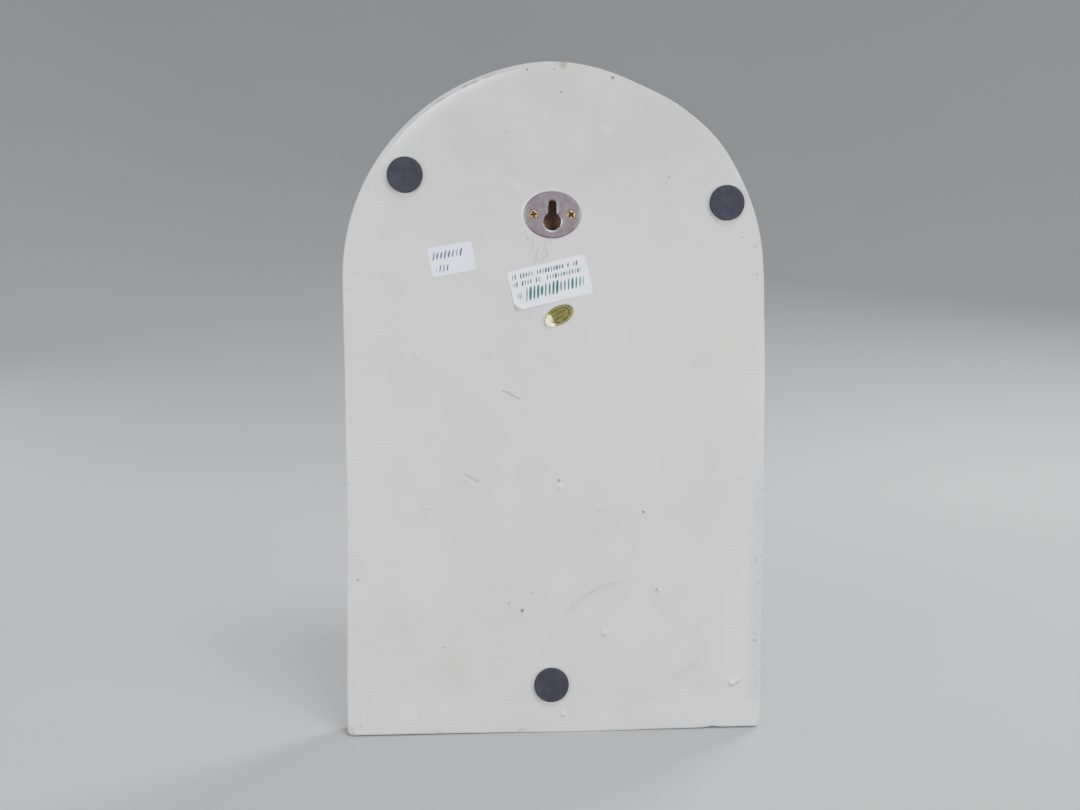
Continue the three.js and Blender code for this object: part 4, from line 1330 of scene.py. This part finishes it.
def fibres_by_nodes():
    sizes = {"Density": 900000.0, "Length": 0.0008, "Thickness": 0.00003, "Seed": 4, "Material": FELT}
    tree, given = geometry_tree("loose felt fibres", sizes)
    spots = add(tree, "GeometryNodeDistributePointsOnFaces", {
        "Mesh": given["Geometry"], "Density": given["Density"], "Seed": given["Seed"]})
    fibre = add(tree, "GeometryNodeMeshCone", {
        "Vertices": 3, "Side Segments": 1, "Radius Top": FIBRE_TIP, "Radius Bottom": given["Thickness"],
        "Depth": given["Length"]}, fill_type="TRIANGLE_FAN")
    lean = add(tree, "FunctionNodeRandomValue", {
        0: (-FIBRE_LEAN, -FIBRE_LEAN, 0.0), 1: (FIBRE_LEAN, FIBRE_LEAN, 6.28), "Seed": given["Seed"]},
        data_type="FLOAT_VECTOR")
    turn = add(tree, "FunctionNodeRotateRotation", {
        "Rotation": spots.outputs["Rotation"], "Rotate By": lean}, rotation_space="LOCAL")
    copies = add(tree, "GeometryNodeInstanceOnPoints", {
        "Points": spots, "Instance": fibre, "Rotation": turn})
    real = add(tree, "GeometryNodeRealizeInstances", {"Geometry": copies})
    end_tree(tree, given, real.outputs[0], given["Geometry"])
    return run_tree("felt_pads", pad_mesh(), tree, sizes)


pads = fibres_by_nodes()
finish_piece(pads, "charcoal_felt", *PADS)

# %% [markdown]
# ## Stickers
# The stickers follow the back's hollows, since paper has no stiffness at this scale. Each carries
# its own UV map in millimetres from its centre, so its printing lies square on the sticker however
# it was slapped on. Nothing on them is lettering: they carry only rows of plain strokes.

# %% Sticker sheets
PAPER = 0.16
EDGE_STEPS = 160


def beyond_sheet(u, v, half_width, half_height, corner):
    """Distance outside a rounded rectangle, or an oval where corner is None."""
    if corner is None:
        return (np.hypot(u / half_width, v / half_height) - 1) * half_height
    du, dv = np.abs(u) - half_width + corner, np.abs(v) - half_height + corner
    return np.hypot(np.maximum(du, 0), np.maximum(dv, 0)) + np.minimum(np.maximum(du, dv), 0) - corner


def sheet_edge(half_width, half_height, corner):
    if corner is None:
        return oval(half_width, half_height, EDGE_STEPS)
    arc = oval(corner, corner, EDGE_STEPS)
    return np.sign(arc) * (half_width - corner, half_height - corner) + arc


def sticker(name, centre, turn, size, lift=None, step=0.8):
    """A thin closed sheet laid on the back. size is half width, half height and corner radius, and
    turn is anticlockwise as seen from behind."""
    columns = [np.linspace(-half, half, round(2 * half / step) + 1) for half in size[:2]]
    grid = np.stack(np.meshgrid(*columns), -1).reshape(-1, 2)
    edge = sheet_edge(*size)
    inner = grid[beyond_sheet(*grid.T, *size) < -0.25]
    shrunk = edge * (1 - 0.18 / np.hypot(*edge.T))[:, None]
    loop = list(range(len(edge)))
    uv, faces, went = join_points(np.concatenate([edge, shrunk, inner]), [loop],
                                  lambda u, v: beyond_sheet(u, v, *size) < 0.01)
    cos, sin = math.cos(math.radians(turn)), math.sin(math.radians(turn))
    spots = centre + uv @ np.array(((-cos, sin), (sin, cos)))
    under = back_height(*spots.T)
    raised = lift(*uv.T) if lift else 0 * under
    points = [to_frame(spots, under + PAPER + raised), to_frame(spots, under + 0.02 + raised * 0.9)]
    count, ring = len(uv), went[loop]
    faces = np.concatenate([faces, faces[:, ::-1] + count, wall(ring, ring + count)[:, ::-1]])
    piece = mesh_piece(name, np.concatenate(points), faces, 50)
    both = np.concatenate([uv, uv])[np.unique(faces)]
    layer = piece.data.uv_layers.new(name="sticker")
    corners = np.zeros(len(piece.data.loops), int)
    piece.data.loops.foreach_get("vertex_index", corners)
    layer.data.foreach_set("uv", both[corners].astype(np.float32).ravel())
    return piece


def curled_corner(u, v):
    """The lower left corner has come unstuck."""
    return 0.8 * ramp(u + v, -26, -33) + 0.04 * hills(u, v, 5, 101)


LABEL_AT, STOCK_AT, FOIL_AT = (place_of(node)[0] for node in ("paper_label", "stock_sticker", "foil_seal"))
paper_label = sticker("paper_label_sheet", LABEL_AT, 13.5, (22.4, 11.0, 2.2), curled_corner)
stock_sticker = sticker("stock_sticker_sheet", STOCK_AT, 10.4, (12.5, 8.0, 2.0))
print("sticker places", LABEL_AT, STOCK_AT, FOIL_AT)

# %% Rows of strokes
ROW_LABELS = ("Level", "Tall", "Pitch", "Start", "End", "Width", "Slant", "Bend", "Gaps", "Seed")


def stroke_row_group():
    """A row of slanting strokes, swollen in the middle, of uneven height and width. No stroke meets
    another, so none makes a letter. Puts out where the ink is. Lengths are mm on the sticker."""
    inputs = {"UV": "Vector", **{label: "Float" for label in ROW_LABELS}}
    group, given, result = new_group("row of strokes", inputs, "Ink", "Float")

    def do(operation, a, b=0.0):
        return calc(group, operation, a, b)

    along, up, _ = split(group, given["UV"])
    rise = do("SUBTRACT", up, given["Level"])
    slid = do("SUBTRACT", along, do("MULTIPLY", rise, given["Slant"]))
    slid = do("SUBTRACT", slid, do("MULTIPLY", do("POWER", rise, 2.0), given["Bend"]))
    turns = do("DIVIDE", slid, given["Pitch"])
    cell = do("ADD", do("FLOOR", turns), given["Seed"])
    chance = add(group, "ShaderNodeTexWhiteNoise", {"W": cell}, noise_dimensions="1D")
    random = add(group, "ShaderNodeSeparateColor", {"Color": chance.outputs["Color"]}).outputs
    off_middle = do("ABSOLUTE", do("SUBTRACT", do("FRACT", turns), 0.5))
    half_tall = do("MULTIPLY", given["Tall"], band(group, random[1], 0.0, 1.0, 0.34, 0.5))
    share = do("SUBTRACT", 1.0, do("POWER", do("DIVIDE", rise, half_tall), 2.0))
    swelling = do("POWER", do("MAXIMUM", share, 0.0), 0.35)
    width = do("MULTIPLY", given["Width"], band(group, random[0], 0.0, 1.0, 0.55, 1.0))
    beyond = do("SUBTRACT", do("MULTIPLY", off_middle, given["Pitch"]), do("MULTIPLY", width, swelling))
    ink = do("MULTIPLY", band(group, beyond, 0.06, -0.06), do("GREATER_THAN", share, 0.0))
    ink = do("MULTIPLY", ink, do("GREATER_THAN", random[2], given["Gaps"]))
    span = do("MULTIPLY", do("GREATER_THAN", slid, given["Start"]), do("LESS_THAN", slid, given["End"]))
    feed(result, {"Ink": do("MULTIPLY", ink, span)})
    return group


STROKE_ROW = stroke_row_group()


def sticker_uv(tree):
    return add(tree, "ShaderNodeUVMap", {}, uv_map="sticker").outputs[0]


def rows_of_strokes(tree, rows):
    """The ink of several rows, each given as its numbers in the order of ROW_LABELS."""
    uv = sticker_uv(tree)
    made = [{"UV": uv, **dict(zip(ROW_LABELS, row))} for row in rows]
    return strongest(tree, *(add(tree, "ShaderNodeGroup", values, node_tree=STROKE_ROW) for values in made))


print("a row of strokes takes", len(STROKE_ROW.nodes), "nodes")

# %% Printed and written papers
LABEL_ROWS = (  # three lines, the lowest tall, and a short one beside it
    (7.2, 3.4, 1.6, -20.2, 17.6, 0.66, 0.25, 0.0, 0.10, 3.0),
    (3.0, 3.4, 1.6, -20.2, 18.4, 0.66, 0.25, 0.0, 0.10, 60.0),
    (-3.4, 7.8, 2.2, -14.6, 18.6, 0.95, 0.25, 0.0, 0.0, 141.0),
    (-3.6, 4.6, 1.1, -19.6, -16.2, 0.40, 0.0, 0.0, 0.1, 201.0),
)
STOCK_ROWS = (
    (3.1, 5.2, 2.2, -10.2, 7.2, 0.72, 0.35, 0.03, 0.0, 11.0),
    (-4.1, 4.4, 2.1, -9.4, -2.6, 0.70, 0.30, -0.03, 0.0, 31.0),
)


def paper(name, first, second, roughness):
    """A paper's material with its bump, and the drifting tone to print on."""
    material, tree, shader, place = new_material(name, Roughness=roughness)
    feed(shader, {"Normal": bump(tree, grain(tree, place, (1.0, 1.0, 0.7), 1800.0), 0.00003, 0.35)})
    return material, tree, shader, drift(tree, place, 120.0, first, second)


def printed_label():
    """White coated paper with green strokes, rubbed a little, and brown glue with painted shadow along the
    lifted corner.
    """
    material, tree, shader, colour = paper("printed label paper", (0.80, 0.81, 0.95), (0.86, 0.87, 0.99), 0.5)
    rubbed = band(tree, noise(tree, sticker_uv(tree), 1.6, 3.0), 0.25, 0.4, 0.88, 1.0)
    colour = stain(tree, colour, rows_of_strokes(tree, LABEL_ROWS), rubbed, (0.001, 0.080, 0.075))
    u, v, _ = split(tree, sticker_uv(tree))
    # Painted shadow mixed with brown glue along the lifted lower left corner.
    lifted = band(tree, calc(tree, "ADD", u, v), -28.6, -30.6)
    feed(shader, {"Base Color": stain(tree, colour, lifted, 0.8, (0.22, 0.13, 0.08))})
    return material


def written_sticker():
    """White matt paper with two rows of leaning pen strokes."""
    material, tree, shader, colour = paper("written sticker paper", (0.70, 0.76, 1.0), (0.76, 0.81, 1.0), 0.6)
    ink = rows_of_strokes(tree, STOCK_ROWS)
    feed(shader, {"Base Color": stain(tree, colour, ink, 0.96, (0.022, 0.020, 0.10))})
    return material


paper_label.data.materials.append(printed_label())
stock_sticker.data.materials.append(written_sticker())
finish_piece(paper_label, "label_paper", "paper_label")
finish_piece(stock_sticker, "sticker_paper", "stock_sticker")

# %% [markdown]
# ### The foil seal
# A small oval of embossed gold foil. Its border is a ring of tiny beads, which Geometry Nodes lays
# along an oval curve on top of the sheet, and the sheet itself is creased from being rubbed down.

# %% Gold foil
FOIL_TURN, FOIL_HALF_W, FOIL_HALF_H = 28.0, 8.75, 5.25
FOIL_PROUD = 0.12
FOIL_ROWS = (
    (1.2, 1.7, 0.95, -4.0, 4.2, 0.3, 0.2, 0.0, 0.1, 7.0),
    (-1.2, 1.7, 0.95, -3.4, 3.2, 0.3, 0.2, 0.0, 0.1, 19.0),
)


def foil_relief(u, v):
    """A raised line inside the edge, a plain dished middle, a few creases and one end lifted."""
    radius = np.hypot(u / FOIL_HALF_W, v / FOIL_HALF_H)
    line = 0.10 * bell(radius - 0.74, 0.05)
    creased = 0.05 * hills(u, v, 1.6, 111) * (radius < 0.7)
    lifted = 0.16 * np.maximum(0, -(u + 3.5)) ** 1.5
    return FOIL_PROUD + line + creased + lifted - 0.10 * ramp(radius, 0.93, 1.0)


def gold_foil():
    """Greenish gold with a dark line inside the beads and two faint rows of strokes."""
    material, tree, shader, place = new_material("gold foil", Metallic=1.0, Roughness=0.2)
    u, v, _ = split(tree, sticker_uv(tree))
    across = calc(tree, "POWER", calc(tree, "DIVIDE", u, FOIL_HALF_W), 2.0)
    upright = calc(tree, "POWER", calc(tree, "DIVIDE", v, FOIL_HALF_H), 2.0)
    radius = calc(tree, "SQRT", calc(tree, "ADD", across, upright))
    line = band(tree, calc(tree, "ABSOLUTE", calc(tree, "SUBTRACT", radius, 0.68)), 0.055, 0.015)
    strokes = rows_of_strokes(tree, FOIL_ROWS)
    ink = strongest(tree, times(tree, line, 0.8), times(tree, strokes, 0.75))
    tone = drift(tree, place, 300.0, (0.43, 0.42, 0.16), (0.27, 0.26, 0.09))
    creases = bump(tree, grain(tree, place, (1.0, 1.0, 1.0), 420.0), 0.00022, 0.5)
    feed(shader, {"Base Color": blend(tree, ink, tone, (0.07, 0.065, 0.025)), "Normal": creases})
    return material


FOIL = gold_foil()
print("foil nodes", len(FOIL.node_tree.nodes))

# %% Beads by Geometry Nodes
BEAD_OVAL_W, BEAD_OVAL_H = 0.88, 0.85


def beads_by_nodes():
    level = float(back_height(*np.array([FOIL_AT]).T)[0]) + PAPER + FOIL_PROUD
    sizes = {
        "Count": 70, "Bead": 0.00024, "Centre": tuple(to_frame(FOIL_AT, level).tolist()),
        "Tilt": (math.pi / 2, math.radians(FOIL_TURN), 0.0),
        "Size": (FOIL_HALF_W * BEAD_OVAL_W * MM, FOIL_HALF_H * BEAD_OVAL_H * MM, 1.0), "Material": FOIL,
    }
    tree, given = geometry_tree("beads round an oval", sizes)
    circle = add(tree, "GeometryNodeCurvePrimitiveCircle", {"Resolution": 96, "Radius": 1.0}, mode="RADIUS")
    placed = add(tree, "GeometryNodeTransform", {
        "Geometry": circle, "Translation": given["Centre"], "Rotation": given["Tilt"],
        "Scale": given["Size"]})
    spots = add(tree, "GeometryNodeCurveToPoints", {"Curve": placed, "Count": given["Count"]}, mode="COUNT")
    bead = add(tree, "GeometryNodeMeshIcoSphere", {"Radius": given["Bead"], "Subdivisions": 2})
    copies = add(tree, "GeometryNodeInstanceOnPoints", {"Points": spots, "Instance": bead})
    real = add(tree, "GeometryNodeRealizeInstances", {"Geometry": copies})
    smooth = add(tree, "GeometryNodeSetShadeSmooth", {"Geometry": real})
    end_tree(tree, given, smooth.outputs[0], given["Geometry"])
    sheet = sticker("foil_sheet", FOIL_AT, FOIL_TURN, (FOIL_HALF_W, FOIL_HALF_H, None), foil_relief, 0.35)
    return run_tree("foil_seal_embossed", sheet, tree, sizes)


foil = beads_by_nodes()
finish_piece(foil, "gold_foil", "foil_seal")

# %% [markdown]
# ## Stage, light and camera
# A pale floor curves up all round into a wall, so no horizon shows from any side. The main light
# is high and far out on the back's side, so it rakes down over the paint and shows each nib. Two
# low lights lift the shadows, and two more light the decorated front.

# %% Stage
STAGE_RADIUS, STAGE_CURVE, STAGE_TALL, STAGE_INNER, STAGE_STEPS = 4.2, 3.0, 3.2, 0.4, 72
FLOOR_DROP = 0.8 * MM


def sweep_stage():
    bend = np.linspace(0, math.pi / 2, 25)
    radii = [STAGE_INNER, *(STAGE_RADIUS - STAGE_CURVE * (1 - np.sin(bend))), STAGE_RADIUS]
    heights = [0.0, *(STAGE_CURVE * (1 - np.cos(bend))), STAGE_TALL]
    rounds = [np.insert(oval(radius, radius, STAGE_STEPS), 2, height, axis=1)
              for radius, height in zip(radii, heights)]
    points = np.concatenate(rounds) + FOOT - (0, 0, FLOOR_DROP)
    bands = np.arange(len(points)).reshape(-1, STAGE_STEPS)
    faces = [bands[0].tolist()]
    for lower, upper in zip(bands[:-1], bands[1:]):
        faces += quads(upper, lower)
    material, tree, shader, place = new_material("stage paper", Roughness=0.9)
    feed(shader, {"Base Color": drift(tree, place, 1.2, (0.36, 0.365, 0.375), (0.37, 0.375, 0.385))})
    stage = mesh_piece("stage", points, faces, 60)
    stage.data.materials.append(material)
    return stage


stage = sweep_stage()
print("stage", len(stage.data.polygons), "faces")

# %% Lights
ROOM_LIGHT, ROOM_STRENGTH = (0.86, 0.88, 0.92), 0.36


def soft_light(name, place, size, power, aim=(0.0, 0.0, 0.19)):
    """A square area light. place and aim are metres from the bottom of the plaque's back."""
    data = bpy.data.lights.new(name, "AREA")
    data.shape, data.size, data.energy = "SQUARE", size, power
    light = link_object(name, data)
    light.location = FOOT + Vector(place)
    direction = FOOT + Vector(aim) - light.location
    light.rotation_euler = direction.to_track_quat("-Z", "Y").to_euler()


soft_light("high behind", (-0.8, 2.2, 3.2), 1.2, 140)
soft_light("low behind left", (1.25, 1.3, 0.3), 0.7, 28)
soft_light("low behind right", (-1.25, 1.3, 0.45), 0.7, 26)
soft_light("front left", (-1.1, -1.2, 1.3), 0.7, 46)
soft_light("front right", (1.3, -1.1, 0.8), 1.1, 15)
world = bpy.data.worlds.new("room")
world.use_nodes = True
feed(world.node_tree.nodes["Background"], {"Color": ROOM_LIGHT, "Strength": ROOM_STRENGTH})
bpy.context.scene.world = world
print("lights", len(bpy.data.lights))

# %% Camera
LENS, SENSOR = 43.33, 36.0
DISTANCE, TURN, RAISE, ROLL = 0.7319, 4.467, 4.433, 0.17
AIM = (0.0101, 0.0, 0.1883)


def place_camera():
    data = bpy.data.cameras.new("camera")
    data.lens, data.sensor_width = LENS, SENSOR
    camera = link_object("camera", data)
    turn, rise = math.radians(TURN), math.radians(RAISE)
    backward = Vector((math.sin(turn) * math.cos(rise), math.cos(turn) * math.cos(rise), math.sin(rise)))
    camera.location = FOOT + Vector(AIM) + backward * DISTANCE
    facing = backward.to_track_quat("Z", "Y").to_matrix()
    camera.rotation_euler = (facing @ Matrix.Rotation(math.radians(ROLL), 3, "Z")).to_euler()
    bpy.context.scene.camera = camera
    return camera


camera = place_camera()
print("camera", [round(v, 4) for v in camera.location])
